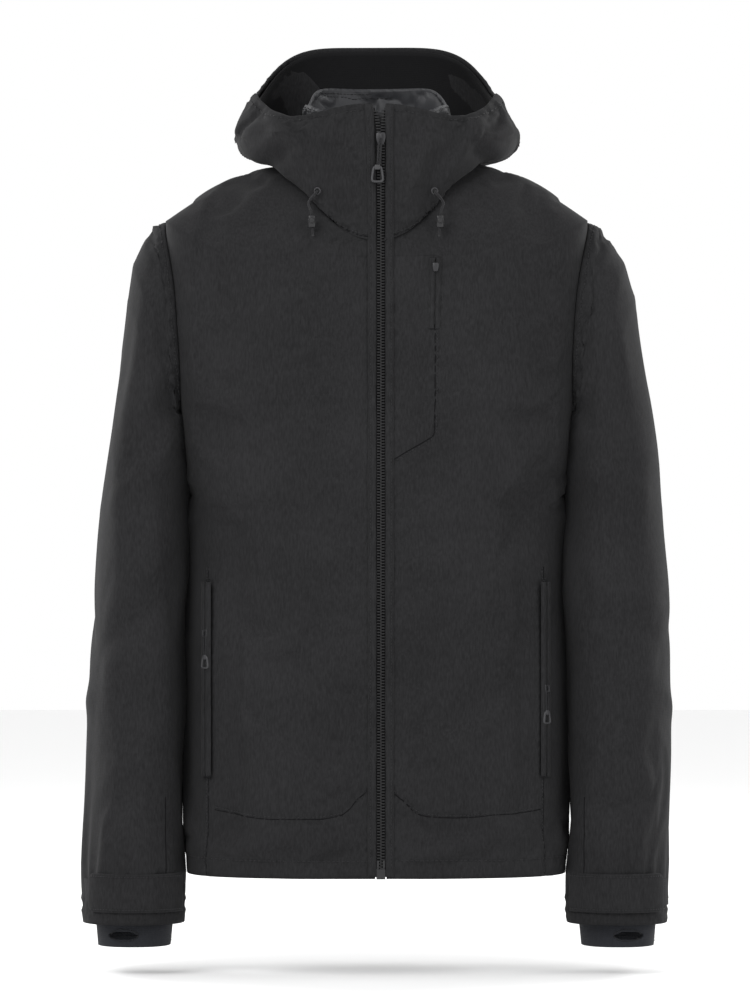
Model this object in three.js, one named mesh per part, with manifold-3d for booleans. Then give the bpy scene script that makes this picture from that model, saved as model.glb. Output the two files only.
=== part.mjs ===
// A hooded ski jacket, hung from the loop at the back of its neck.
// Millimetres. +Z is up, +X is the wearer's left, the front faces -Y. The origin is where a hook bears on the loop.
import * as THREE from "three";
import { LoftGeometry } from "three/addons/geometries/LoftGeometry.js";
import { mergeVertices } from "three/addons/utils/BufferGeometryUtils.js";
import Module from "manifold-3d";

const wasm = await Module();
wasm.setup();

// Driving dimensions of the body
const HEM_Z = -719;
const BODY_LEAN = 0.05; // the front edge leans back by this much for each millimetre of height
const FRONT_Y_AT_HEM = -204.5;
const SHELL = 2.4; // outer fabric with its backing
const LINING_INSET = 16;
const LINING = 1.6;
const CLEAR = 0.5; // between pieces that touch
const ZIP_X = 5;
const ZIP_GAP = 15; // between the two front edges, where the zip sits
const CHIN_Z = 78;

// Driving dimensions of the neck, shoulders and hood
const NECK = { halfWidth: 88, frontZ: -61, sideZ: 25, backZ: 8, frontY: -171.6, backY: 10 };
const SHOULDER = { halfWidth: 221, frontZ: -80, sideZ: -46, backZ: -66 };
const HOOD_SPLIT = 0.52 * Math.PI; // where the hood's front pieces meet its crown

// Driving dimensions of the sleeves and cuffs
const CUFF_Z = -770;
const GAITER_END_Z = -794;

const COLOURS = {
  shell: 0x2b2b2d,
  lining: 0x3a3b40,
  gaiter: 0x2c2d30,
  tape: 0x1d1d1f,
  teeth: 0x222224,
  metal: 0x3b3c3e,
  plastic: 0x191a1b,
  cord: 0x232325,
  hookLoop: 0x2a2a2b,
  label: 0x4a4a4c,
};

const FINISH = {
  shell: [0.82, 0],
  lining: [0.75, 0],
  gaiter: [0.9, 0],
  tape: [0.85, 0],
  teeth: [0.45, 0],
  metal: [0.4, 0.6],
  plastic: [0.45, 0],
  cord: [0.8, 0],
  hookLoop: [0.95, 0],
  label: [0.8, 0],
};

const materials = {};
for (const [name, color] of Object.entries(COLOURS)) {
  const [roughness, metalness] = FINISH[name];
  materials[name] = new THREE.MeshStandardMaterial({ name, color, roughness, metalness });
}

const jacket = new THREE.Group();
jacket.name = "ski_jacket";

function add(name, geometry, material, parent = jacket) {
  const mesh = new THREE.Mesh(geometry, materials[material]);
  mesh.name = name;
  parent.add(mesh);
  return mesh;
}

// ---------------------------------------------------------------- solids

function solidOf(geometry) {
  const bare = new THREE.BufferGeometry();
  bare.setAttribute("position", geometry.getAttribute("position"));
  bare.setIndex(geometry.index);
  const merged = mergeVertices(bare, 1e-3);
  return new wasm.Manifold(
    new wasm.Mesh({
      numProp: 3,
      vertProperties: new Float32Array(merged.attributes.position.array),
      triVerts: new Uint32Array(merged.index.array),
    }),
  );
}

function geometryOf(solid) {
  const largest = solid.decompose().sort((a, b) => b.volume() - a.volume())[0];
  const made = largest.getMesh();
  const geometry = new THREE.BufferGeometry();
  geometry.setAttribute("position", new THREE.BufferAttribute(made.vertProperties, 3));
  geometry.setIndex(new THREE.BufferAttribute(made.triVerts, 1));
  geometry.computeVertexNormals();
  return geometry;
}

function cut(geometry, ...tools) {
  const solid = tools.reduce((left, tool) => left.subtract(solidOf(tool)), solidOf(geometry));
  return geometryOf(solid);
}

function placedBox(x, y, z, sizeX, sizeY, sizeZ) {
  return new THREE.BoxGeometry(sizeX, sizeY, sizeZ).translate(x, y, z);
}

// A loft through closed rings, turned so that its faces point outwards.
function loft(rings) {
  const middle = (ring) =>
    ring.reduce((sum, p) => sum.add(p), new THREE.Vector3()).divideScalar(ring.length);
  const normal = new THREE.Vector3();
  rings[0].forEach((p, i) => {
    const q = rings[0][(i + 1) % rings[0].length];
    normal.add(new THREE.Vector3().crossVectors(p, q));
  });
  const along = middle(rings[1]).sub(middle(rings[0]));
  const turned = normal.dot(along) < 0 ? rings.map((ring) => [...ring].reverse()) : rings;
  return new LoftGeometry(turned, { closed: true, capStart: true, capEnd: true });
}

// A point at a distance outside a surface given as (u, v) => Vector3.
function offsetPoint(surface, u, v, distance, outward = 1) {
  const step = 1e-3;
  const point = surface(u, v);
  const alongU = surface(u + step, v).sub(surface(u - step, v));
  const alongV = surface(u, v + step).sub(surface(u, v - step));
  const normal = alongU.cross(alongV).normalize();
  return point.addScaledVector(normal, distance * outward);
}

// A closed panel cut from a surface: u from..to, v bottom(u)..top(u), between two offsets.
function panel(surface, { from, to, bottom, top, columns, rows, outer = 0, thick = SHELL }) {
  const low = typeof bottom === "function" ? bottom : () => bottom;
  const high = typeof top === "function" ? top : () => top;
  const rings = [];
  for (let r = 0; r <= rows; r++) {
    const ring = [];
    for (let side = 0; side < 2; side++) {
      for (let c = 0; c <= columns; c++) {
        const k = side === 0 ? c : columns - c;
        const u = from + ((to - from) * k) / columns;
        const v = low(u) + ((high(u) - low(u)) * r) / rows;
        ring.push(offsetPoint(surface, u, v, outer - side * thick));
      }
    }
    rings.push(ring);
  }
  return closedStrip(rings, columns);
}

// A loft through rings that each run out along one face and back along the other, closed at both ends.
function closedStrip(rings, columns) {
  const geometry = new LoftGeometry(rings, { closed: true });
  const index = [...geometry.index.array];
  const last = 2 * columns + 1;
  const rowStart = (rings.length - 1) * (last + 2);
  for (let k = 0; k < columns; k++) {
    index.push(k + 1, k, last - k, k + 1, last - k, last - k - 1);
    const [a, b, c, d] = [k, k + 1, last - k - 1, last - k].map((j) => rowStart + j);
    index.push(a, b, d, b, c, d);
  }
  geometry.setIndex(index);
  return solidOf(geometry).volume() < 0 ? turnedOver(geometry) : geometry;
}

// A tube-shaped shell: u runs once round, v from..to, between two offsets.
function sleeveShell(surface, { from, to, columns, rows, outer = 0, thick = SHELL }) {
  const ringAt = (v, distance) => {
    const ring = [];
    for (let c = 0; c < columns; c++) {
      ring.push(offsetPoint(surface, (2 * Math.PI * c) / columns, v, distance));
    }
    return ring;
  };
  const rings = [];
  for (let r = 0; r <= rows; r++) rings.push(ringAt(from + ((to - from) * r) / rows, outer));
  for (let r = rows; r >= 0; r--) {
    rings.push(ringAt(from + ((to - from) * r) / rows, outer - thick));
  }
  rings.push(ringAt(from, outer));
  const geometry = new LoftGeometry(rings, { closed: true });
  return solidOf(geometry).volume() < 0 ? turnedOver(geometry) : geometry;
}

function turnedOver(geometry) {
  const index = geometry.index.array;
  for (let i = 0; i < index.length; i += 3) {
    [index[i + 1], index[i + 2]] = [index[i + 2], index[i + 1]];
  }
  return geometry;
}

function filledTube(surface, { from, to, columns, rows, outer }) {
  const rings = [];
  for (let r = 0; r <= rows; r++) {
    const v = from + ((to - from) * r) / rows;
    const ring = [];
    for (let c = 0; c < columns; c++) {
      ring.push(offsetPoint(surface, (2 * Math.PI * c) / columns, v, outer));
    }
    rings.push(ring);
  }
  return loft(rings);
}

// ---------------------------------------------------------------- body surface

// A value read off a list of [place, value] pairs, with straight lines between them.
function along(pairs, place) {
  let i = 0;
  while (i < pairs.length - 2 && place > pairs[i + 1][0]) i++;
  const [p0, v0] = pairs[i];
  const [p1, v1] = pairs[i + 1];
  const t = THREE.MathUtils.clamp((place - p0) / (p1 - p0), 0, 1);
  return v0 + (v1 - v0) * t;
}

const BODY_HALF_WIDTH = [
  [HEM_Z, 197],
  [-330, 198],
  [-250, 204],
  [-150, 215],
  [-46, 221],
];
const BODY_BACK_Y = [
  [HEM_Z, 28],
  [-480, 20],
  [-220, 44],
  [-46, 34],
];

// How square the body's cross-section is: 2 is an ellipse.
const BODY_POWER = [
  [-340, 3],
  [-230, 4.6],
];

function frontY(z) {
  return FRONT_Y_AT_HEM + BODY_LEAN * (z - HEM_Z);
}

function rounded(value, power) {
  return Math.sign(value) * Math.abs(value) ** (2 / power);
}

// A ring point: angle 0 is the front, a quarter turn is the wearer's left.
function ringPoint(angle, halfWidth, front, back, z, power) {
  const middle = (front + back) / 2;
  const depth = (back - front) / 2;
  const x = halfWidth * rounded(Math.sin(angle), power);
  const y = middle - depth * rounded(Math.cos(angle), power);
  return new THREE.Vector3(x, y, z);
}

// A height round a ring from its front, side and back heights.
function roundHeight({ frontZ, sideZ, backZ }, angle) {
  const side = Math.sin(angle) ** 2;
  const end = Math.cos(angle) > 0 ? frontZ : backZ;
  return end + (sideZ - end) * side;
}

function shoulderPoint(angle) {
  const z = roundHeight(SHOULDER, angle);
  return ringPoint(angle, SHOULDER.halfWidth, frontY(z), along(BODY_BACK_Y, z), z, BODY_POWER[1][1]);
}

function neckPoint(angle) {
  const z = roundHeight(NECK, angle);
  return ringPoint(angle, NECK.halfWidth, NECK.frontY, NECK.backY, z, 2.3);
}

// The body: v 0 is the hem, 1 the shoulder line and 2 the neck seam.
function bodySurface(angle, v) {
  if (v <= 1) {
    const z = HEM_Z + (roundHeight(SHOULDER, angle) - HEM_Z) * v;
    const [halfWidth, back, power] = [BODY_HALF_WIDTH, BODY_BACK_Y, BODY_POWER].map((pairs) =>
      along(pairs, z),
    );
    return ringPoint(angle, halfWidth, frontY(z), back, z, power);
  }
  const t = v - 1;
  const point = shoulderPoint(angle).lerp(neckPoint(angle), t);
  point.z += 10 * Math.sin(Math.PI * t) * Math.sin(angle) ** 2;
  return point;
}

// The height v of a place z below the shoulder line.
function bodyV(angle, z) {
  return (z - HEM_Z) / (roundHeight(SHOULDER, angle) - HEM_Z);
}

// The angle at which the body surface crosses x on the front, at height z.
function frontAngle(x, z) {
  const share = Math.abs(x) / along(BODY_HALF_WIDTH, z);
  return Math.sign(x) * Math.asin(Math.min(share, 1) ** (along(BODY_POWER, z) / 2));
}

// ---------------------------------------------------------------- sleeve surface

// Stations down the wearer's left sleeve: outer and inner edge seen from the front, half depth, middle Y.
const ARM = [
  { outer: [222, -40], inner: [203, -256], depth: 73, y: -75 },
  { outer: [241, -60], inner: [204, -260], depth: 77, y: -77 },
  { outer: [254, -85], inner: [205, -264], depth: 80, y: -79 },
  { outer: [262, -125], inner: [206, -269], depth: 81, y: -82 },
  { outer: [268, -175], inner: [206, -277], depth: 83, y: -82 },
  { outer: [274, -225], inner: [206, -292], depth: 83, y: -83 },
  { outer: [281, -285], inner: [205, -325], depth: 82, y: -84 },
  { outer: [288, -345], inner: [204, -368], depth: 79, y: -86 },
  { outer: [294, -420], inner: [202, -428], depth: 75, y: -90 },
  { outer: [299, -505], inner: [201, -505], depth: 70, y: -95 },
  { outer: [302, -600], inner: [200, -600], depth: 64, y: -101 },
  { outer: [303, -690], inner: [199.5, -690], depth: 59, y: -107 },
  { outer: [304, CUFF_Z], inner: [199.5, CUFF_Z], depth: 56, y: -110 },
];
const ARM_END = ARM.length - 1;

function armPoint(side, angle, s, stations) {
  const i = THREE.MathUtils.clamp(Math.floor(s), 0, stations.length - 2);
  const t = s - i;
  const mix = (a, b) => a + (b - a) * t;
  const [a, b] = [stations[i], stations[i + 1]];
  const outerX = mix(a.outer[0], b.outer[0]);
  const outerZ = mix(a.outer[1], b.outer[1]);
  const innerX = mix(a.inner[0], b.inner[0]);
  const innerZ = mix(a.inner[1], b.inner[1]);
  const across = rounded(Math.cos(angle), 2.3) / 2;
  const x = (outerX + innerX) / 2 + (outerX - innerX) * across;
  const z = (outerZ + innerZ) / 2 + (outerZ - innerZ) * across;
  const y = mix(a.y, b.y) - mix(a.depth, b.depth) * rounded(Math.sin(angle), 2.3);
  return new THREE.Vector3(side * x, y, z);
}

// Angle 0 is the outer edge and a quarter turn is the front. The order keeps the normal outwards.
function sleeveSurface(side) {
  return (angle, s) => armPoint(side, side * angle, s, ARM);
}

const GAITER = [
  { outer: [295, -738], inner: [209, -738], depth: 47, y: -110 },
  { outer: [292, GAITER_END_Z], inner: [217, GAITER_END_Z], depth: 41, y: -111 },
];

// ---------------------------------------------------------------- hood surface

const HOOD_MIDDLE = { halfWidth: 147, frontZ: 10, sideZ: 34, backZ: 62, backY: 60 };
const HOOD_RIM = { halfWidth: 126, frontZ: CHIN_Z, sideZ: 97, backZ: 157, backY: 58, dip: 20 };

function hoodRing(size, angle) {
  const z = roundHeight(size, angle);
  return ringPoint(angle, size.halfWidth, frontY(size.frontZ), size.backY, z, 2.4);
}

// The hood: v 0 is the neck seam and 1 the rim.
function hoodSurface(angle, v) {
  const base = neckPoint(angle);
  const rim = hoodRing(HOOD_RIM, angle);
  if (Math.cos(angle) > 0) rim.z -= HOOD_RIM.dip * Math.sin(2 * angle) ** 2;
  else rim.z = HOOD_RIM.backZ + (HOOD_RIM.sideZ - HOOD_RIM.backZ) * Math.abs(Math.sin(angle)) ** 4;
  const control = hoodRing(HOOD_MIDDLE, angle).multiplyScalar(2);
  control.addScaledVector(base, -0.5).addScaledVector(rim, -0.5);
  return new THREE.QuadraticBezierCurve3(base, control, rim).getPoint(v);
}

// The place on the hood's front that lies at x and z.
function hoodPlace(x, z) {
  let angle = Math.sign(x) * 0.5;
  let v = 0.5;
  for (let i = 0; i < 60; i++) {
    const p = hoodSurface(angle, v);
    angle += (x - p.x) / 260;
    v = THREE.MathUtils.clamp(v + (z - p.z) / 260, 0, 1);
  }
  return [angle, v];
}

// ---------------------------------------------------------------- inner collar surface

const COLLAR_BASE = { halfWidth: 80, frontZ: -48, sideZ: 22, backZ: -24 };
const COLLAR_TOP = { halfWidth: 75, frontZ: 64, sideZ: 84, backZ: 108 };

function collarSurface(angle, v) {
  const zBase = roundHeight(COLLAR_BASE, angle);
  const zTop = roundHeight(COLLAR_TOP, angle);
  const base = ringPoint(angle, COLLAR_BASE.halfWidth, frontY(-48) + 12, 7, zBase, 2.3);
  const top = ringPoint(angle, COLLAR_TOP.halfWidth, frontY(64) + 14, 8, zTop, 2.3);
  return base.lerp(top, v);
}

// ---------------------------------------------------------------- shared cutting tools

const SHOULDER_PIVOT = { x: 219.5, y: -76, z: -35.5 };
const LIFTS = [4, 8, 12, 16, 20, 25]; // degrees at which the shoulder edge is cleared for the lifting sleeve

// What a sleeve fills, at rest and as it starts to lift.
function armTool(side) {
  const whole = { from: -0.16, to: ARM_END, columns: 20, rows: 12, outer: 0.9 };
  const top = { from: -0.05, to: 3, columns: 20, rows: 3, outer: 0.5 };
  const { x, y, z } = SHOULDER_PIVOT;
  const lifted = LIFTS.map((degrees) =>
    filledTube(sleeveSurface(side), top)
      .translate(-side * x, -y, -z)
      .rotateY(-side * THREE.MathUtils.degToRad(degrees))
      .translate(side * x, y, z),
  );
  const solids = [filledTube(sleeveSurface(side), whole), ...lifted].map(solidOf);
  return geometryOf(solids.reduce((sum, solid) => sum.add(solid)));
}

const armTools = [-1, 1].map(armTool);
const zipChannel = placedBox(ZIP_X, frontY(0), HEM_Z / 2, ZIP_GAP, 90, 900);

// Clears the lining where an arm goes through.
function armhole(side) {
  const tool = new THREE.CylinderGeometry(100, 100, 110, 24).rotateZ(Math.PI / 2);
  return tool.scale(1, 0.66, 1.04).translate(side * 208, -76, -150);
}

// A frame on a surface: local z runs up the surface, local y points into the body.
function surfaceFrame(surface, angle, v, distance, tilt = 0) {
  const group = new THREE.Group();
  const step = 1e-3;
  const up = surface(angle, v + step).sub(surface(angle, v - step)).normalize();
  const outside = offsetPoint(surface, angle, v, 1).sub(surface(angle, v)).normalize();
  const inside = outside.negate();
  const across = new THREE.Vector3().crossVectors(inside, up).normalize();
  group.quaternion.setFromRotationMatrix(new THREE.Matrix4().makeBasis(across, inside, up));
  group.rotateY(tilt);
  group.position.copy(offsetPoint(surface, angle, v, distance));
  group.updateMatrixWorld(true);
  return group;
}

// ---------------------------------------------------------------- body pieces

const SEAM = 1.0; // the side seam's angle
const SHOULDER_SEAM = Math.PI / 2;
const BACK_SEAM = 2.2;
const HEM_SEAM_Z = -650;
const YOKE_Z = -264;
const SEAM_GAP = 1;

function bodyPanel(name, from, to, bottomZ, topZ, columns, rows, tools = []) {
  const edge = 0.004;
  const geometry = panel(bodySurface, {
    from: from + edge,
    to: to - edge,
    bottom: (u) => bodyV(u, bottomZ),
    top: topZ === "neck" ? () => 1.97 : (u) => bodyV(u, topZ - SEAM_GAP),
    columns,
    rows,
  });
  add(name, tools.length ? cut(geometry, ...tools) : geometry, "shell");
}

const HAND_POCKET = { z: -516, length: 198, mouth: 9, sliderRight: 47, sliderLeft: -10 };
const CHEST_POCKET = { x: 61, z: -118, length: 70, mouth: 7, slider: 27 };

function handPocketFrame(side) {
  const angle = side * SEAM;
  return surfaceFrame(bodySurface, angle, bodyV(angle, HAND_POCKET.z), 0);
}

function chestPocketFrame() {
  const angle = frontAngle(CHEST_POCKET.x, CHEST_POCKET.z);
  return surfaceFrame(bodySurface, angle, bodyV(angle, CHEST_POCKET.z), 0);
}

function slotTool(frame, width, length) {
  return new THREE.BoxGeometry(width, 12, length).translate(0, 1, 0).applyMatrix4(frame.matrix);
}

const handSlots = [-1, 1].map((side) =>
  slotTool(handPocketFrame(side), HAND_POCKET.mouth, HAND_POCKET.length),
);
const chestSlot = slotTool(chestPocketFrame(), CHEST_POCKET.mouth, CHEST_POCKET.length);

for (const side of [-1, 1]) {
  const wearer = side < 0 ? "right" : "left";
  const span = (a, b) => (side > 0 ? [a, b] : [-b, -a]);
  const slot = handSlots[side < 0 ? 0 : 1];
  bodyPanel(`front_hem_${wearer}`, ...span(0, SEAM), HEM_Z, HEM_SEAM_Z, 7, 2, [zipChannel]);
  bodyPanel(`front_${wearer}`, ...span(0, SEAM), HEM_SEAM_Z, YOKE_Z, 7, 6, [zipChannel, slot]);
  const upper = side < 0 ? [zipChannel, armTools[0]] : [zipChannel, armTools[1], chestSlot];
  bodyPanel(`chest_${wearer}`, ...span(0, SHOULDER_SEAM), YOKE_Z, "neck", 12, 8, upper);
  const under = armTools[side < 0 ? 0 : 1];
  bodyPanel(`side_${wearer}`, ...span(SEAM, BACK_SEAM), HEM_Z, YOKE_Z, 7, 8, [under, slot]);
}
bodyPanel("back", BACK_SEAM, 2 * Math.PI - BACK_SEAM, HEM_Z, YOKE_Z, 12, 8);
bodyPanel("back_yoke", SHOULDER_SEAM, 1.5 * Math.PI, YOKE_Z, "neck", 20, 8, armTools);

add(
  "body_lining",
  cut(
    panel(bodySurface, {
      from: 0.16,
      to: 2 * Math.PI - 0.16,
      bottom: (u) => bodyV(u, HEM_Z + 6),
      top: 1.5,
      columns: 24,
      rows: 8,
      outer: -LINING_INSET,
      thick: LINING,
    }),
    armhole(-1),
    armhole(1),
  ),
  "lining",
);

// ---------------------------------------------------------------- pockets

const BAG = { inset: 3.6, depth: 9.6, wall: 1.2 };

// A flat bag between the shell and the lining, open only at its mouth.
function pocketBag(name, from, to, bottomZ, topZ, mouthTool) {
  const layer = (grow, inset, depth) =>
    panel(bodySurface, {
      from: from + grow,
      to: to - grow,
      bottom: (u) => bodyV(u, bottomZ + 60 * grow),
      top: (u) => bodyV(u, topZ - 60 * grow),
      columns: 5,
      rows: 5,
      outer: -inset,
      thick: depth,
    });
  const inside = layer(0.02, BAG.inset + BAG.wall, BAG.depth - 2 * BAG.wall);
  add(name, cut(layer(0, BAG.inset, BAG.depth), inside, mouthTool), "lining");
}

function mouthTool(frame, size) {
  const tool = new THREE.BoxGeometry(size.mouth, 12, size.length);
  return tool.translate(0, 4, 0).applyMatrix4(frame.matrix);
}

const handMouths = [-1, 1].map((side) => mouthTool(handPocketFrame(side), HAND_POCKET));
pocketBag("hand_pocket_bag_right", -SEAM - 0.05, -0.5, -655, -400, handMouths[0]);
pocketBag("hand_pocket_bag_left", 0.5, SEAM + 0.05, -655, -400, handMouths[1]);
pocketBag(
  "chest_pocket_bag",
  frontAngle(CHEST_POCKET.x - 28, CHEST_POCKET.z),
  frontAngle(CHEST_POCKET.x + 80, CHEST_POCKET.z),
  -240,
  -98,
  mouthTool(chestPocketFrame(), CHEST_POCKET),
);

// ---------------------------------------------------------------- zips

const COIL = { y: 1.6, thick: 1.2, groove: 1.4, ends: 6 };

// The zip's tape with its closed coil, flush in the mouth, with a groove that the slider's neck runs in.
function coilZip(name, frame, size) {
  const tape = placedBox(0, COIL.y, 0, size.mouth - 2 * CLEAR, COIL.thick, size.length - 2 * CLEAR);
  const groove = placedBox(0, COIL.y, 0, COIL.groove, 2 * COIL.groove, size.length - COIL.ends);
  add(name, cut(tape, groove), "tape", frame);
}

function sliderBody({ width, height, gap, plate, neck }) {
  const face = placedBox(0, -gap / 2 - plate / 2, 0, width, plate, height);
  const rear = placedBox(0, gap / 2 + plate / 2, 0, width, plate, height);
  const web = placedBox(0, 0, height / 2 - 1.5, neck, gap + plate, 3);
  return geometryOf(solidOf(face).add(solidOf(rear)).add(solidOf(web)));
}

function arch(width, height, wire, depth) {
  const outline = new THREE.Shape();
  outline.moveTo(-width / 2, 0);
  outline.lineTo(-width / 2, height);
  outline.lineTo(width / 2, height);
  outline.lineTo(width / 2, 0);
  outline.lineTo(width / 2 - wire, 0);
  outline.lineTo(width / 2 - wire, height - wire);
  outline.lineTo(-width / 2 + wire, height - wire);
  outline.lineTo(-width / 2 + wire, 0);
  outline.closePath();
  return new THREE.ExtrudeGeometry(outline, { depth, bevelEnabled: false, steps: 1 });
}

// A pull: a cord loop above and a moulded ring below, hanging from the slider's bridge.
function zipPull(length, ringWidth) {
  const cordWide = 3.4;
  const ringHigh = 0.38 * length;
  const outline = new THREE.Shape();
  outline.moveTo(-cordWide / 2, 0);
  outline.lineTo(-cordWide / 2, -length + ringHigh);
  outline.lineTo(-ringWidth / 2, -length);
  outline.lineTo(ringWidth / 2, -length);
  outline.lineTo(cordWide / 2, -length + ringHigh);
  outline.lineTo(cordWide / 2, 0);
  outline.closePath();
  const hole = new THREE.Path();
  hole.moveTo(-0.6, -length + ringHigh - 1);
  hole.lineTo(ringWidth / 2 - 2.3, -length + 2);
  hole.lineTo(-ringWidth / 2 + 2.3, -length + 2);
  hole.closePath();
  outline.holes.push(hole);
  const geometry = new THREE.ExtrudeGeometry(outline, { depth: 1.8, bevelEnabled: false });
  return geometry.rotateX(Math.PI / 2);
}

const MAIN_SLIDER = { z: 42, width: 10, height: 12, gap: 4.4, plate: 1.5, neck: 0.8 };
const MAIN_PULL = { length: 45, ringWidth: 13 };
const CHAIN = { inner: 0.9, outer: 4.1, thick: 3.4, inset: 2.6 };
const TAPE = { from: 4.5, to: 11.5, thick: 0.7, inset: 4 };

// Everything on the main zip shares a frame whose z runs up the front edge.
const frontEdge = new THREE.Group();
frontEdge.position.set(ZIP_X, frontY(0), 0);
frontEdge.rotation.x = -Math.atan(BODY_LEAN);
jacket.add(frontEdge);

for (const side of [-1, 1]) {
  const wearer = side < 0 ? "right" : "left";
  const top = CHIN_Z - 6;
  const middle = (HEM_Z + 10 + top) / 2;
  const length = top - HEM_Z - 10;
  const chainX = (side * (CHAIN.inner + CHAIN.outer)) / 2;
  const chainWide = CHAIN.outer - CHAIN.inner;
  const chain = placedBox(chainX, CHAIN.inset, middle, chainWide, CHAIN.thick, length);
  add(`zip_chain_${wearer}`, chain, "teeth", frontEdge);
  const tapeX = (side * (TAPE.from + TAPE.to)) / 2;
  const tapeWide = TAPE.to - TAPE.from;
  const tape = placedBox(tapeX, TAPE.inset, middle, tapeWide, TAPE.thick, length);
  add(`zip_tape_${wearer}`, tape, "tape", frontEdge);
}
const STOP = { z: HEM_Z + 4, width: 10, depth: 4.6, height: 11 };
const stopBox = placedBox(0, CHAIN.inset, STOP.z, STOP.width, STOP.depth, STOP.height);
add("zip_bottom_box", stopBox, "plastic", frontEdge);

const slider = sliderBody(MAIN_SLIDER).translate(0, CHAIN.inset, MAIN_SLIDER.z);
const bridge = arch(8, 3, 1.2, 2).rotateZ(Math.PI).rotateY(-Math.PI / 2);
const bridgeY = CHAIN.inset - MAIN_SLIDER.gap / 2 - MAIN_SLIDER.plate + 0.2;
bridge.translate(1, bridgeY, MAIN_SLIDER.z);
add("zip_slider", geometryOf(solidOf(slider).add(solidOf(bridge))), "metal", frontEdge);

const mainPull = new THREE.Group();
mainPull.position.set(0, bridgeY - 3.6, MAIN_SLIDER.z - 1);
frontEdge.add(mainPull);
add("zip_pull", zipPull(MAIN_PULL.length, MAIN_PULL.ringWidth), "cord", mainPull);

// The wind flap behind the main zip.
const FLAP = { x: 3, inset: 7.6, width: 38, thick: 1.4, ends: 16 };
const flapHeight = CHIN_Z - HEM_Z - FLAP.ends;
const flap = placedBox(FLAP.x, FLAP.inset, (CHIN_Z + HEM_Z) / 2, FLAP.width, FLAP.thick, flapHeight);
add("storm_flap", flap, "lining", frontEdge);

const SMALL_SLIDER = { width: 6, height: 9, gap: 1.8, plate: 1.1, neck: 0.7 };
const SMALL_PULL = { length: 34, ringWidth: 10 };

// A pocket's zip, its slider at a height above the zip's middle, and its pull.
function pocketZip(name, frame, size, sliderZ, hasPull) {
  jacket.add(frame);
  coilZip(`${name}_zip`, frame, size);
  const body = sliderBody(SMALL_SLIDER).translate(0, COIL.y, sliderZ);
  add(`${name}_slider`, body, "metal", frame);
  if (!hasPull) return;
  const pull = new THREE.Group();
  pull.position.set(0, COIL.y - SMALL_SLIDER.gap / 2 - SMALL_SLIDER.plate - CLEAR, sliderZ - 1);
  frame.add(pull);
  add(`${name}_pull`, zipPull(SMALL_PULL.length, SMALL_PULL.ringWidth), "cord", pull);
}

pocketZip("hand_pocket_right", handPocketFrame(-1), HAND_POCKET, HAND_POCKET.sliderRight, true);
pocketZip("hand_pocket_left", handPocketFrame(1), HAND_POCKET, HAND_POCKET.sliderLeft, true);
pocketZip("chest_pocket", chestPocketFrame(), CHEST_POCKET, CHEST_POCKET.slider, false);

// ---------------------------------------------------------------- hood and collar

const HOOD_BASE_V = 0.065;
const BRIM_V = 0.82;

function hoodPanel(name, from, to, bottom, top, columns, rows, tools = []) {
  const geometry = panel(hoodSurface, { from, to, bottom, top, columns, rows });
  add(name, tools.length ? cut(geometry, ...tools) : geometry, "shell");
}

const HOOD_SEAM = 0.006;
hoodPanel("hood_front_right", -HOOD_SPLIT, -0.001, HOOD_BASE_V, 1, 12, 6, [zipChannel]);
hoodPanel("hood_front_left", 0.001, HOOD_SPLIT, HOOD_BASE_V, 1, 12, 6, [zipChannel]);
const crownFrom = HOOD_SPLIT + HOOD_SEAM;
const crownTo = 2 * Math.PI - crownFrom;
hoodPanel("hood_crown", crownFrom, crownTo, HOOD_BASE_V, BRIM_V, 20, 6);
hoodPanel("hood_brim", crownFrom, crownTo, BRIM_V + 0.008, 1, 20, 2);
add(
  "hood_lining",
  panel(hoodSurface, {
    from: 0.3,
    to: 2 * Math.PI - 0.3,
    bottom: 0.2,
    top: 0.97,
    columns: 26,
    rows: 6,
    outer: -6,
    thick: LINING,
  }),
  "lining",
);
add(
  "inner_collar",
  panel(collarSurface, {
    from: 0.32,
    to: 2 * Math.PI - 0.32,
    bottom: 0.02,
    top: 1,
    columns: 24,
    rows: 3,
    thick: 1.2,
  }),
  "lining",
);

const LOOP = { width: 40, height: 22, strap: 1.6, depth: 6.4 };
const hangLoop = arch(LOOP.width, LOOP.height, LOOP.strap, LOOP.depth).rotateX(Math.PI / 2);
hangLoop.translate(0, LOOP.depth / 2, LOOP.strap - LOOP.height);
add("hang_loop", hangLoop, "tape");
const LABEL = { y: 2.9, z: 36, width: 46, thick: 0.8, height: 24 };
const label = placedBox(0, LABEL.y, LABEL.z, LABEL.width, LABEL.thick, LABEL.height);
add("neck_label", label, "label");

// ---------------------------------------------------------------- hood cords and their locks

const EYELET = { x: 60, z: -12, radius: 3.6, thick: 1 };
const LOCK = { x: 66, z: -44, width: 8, height: 15, depth: 8, bore: 1.9 };
const BUTTON = { radius: 2.6, thick: 2.4, seatRadius: 3, seatDepth: 3.6, above: 1 };

function hoodFrontPoint(x, z, distance) {
  const [angle, v] = hoodPlace(x, z);
  return offsetPoint(hoodSurface, angle, v, distance);
}

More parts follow.
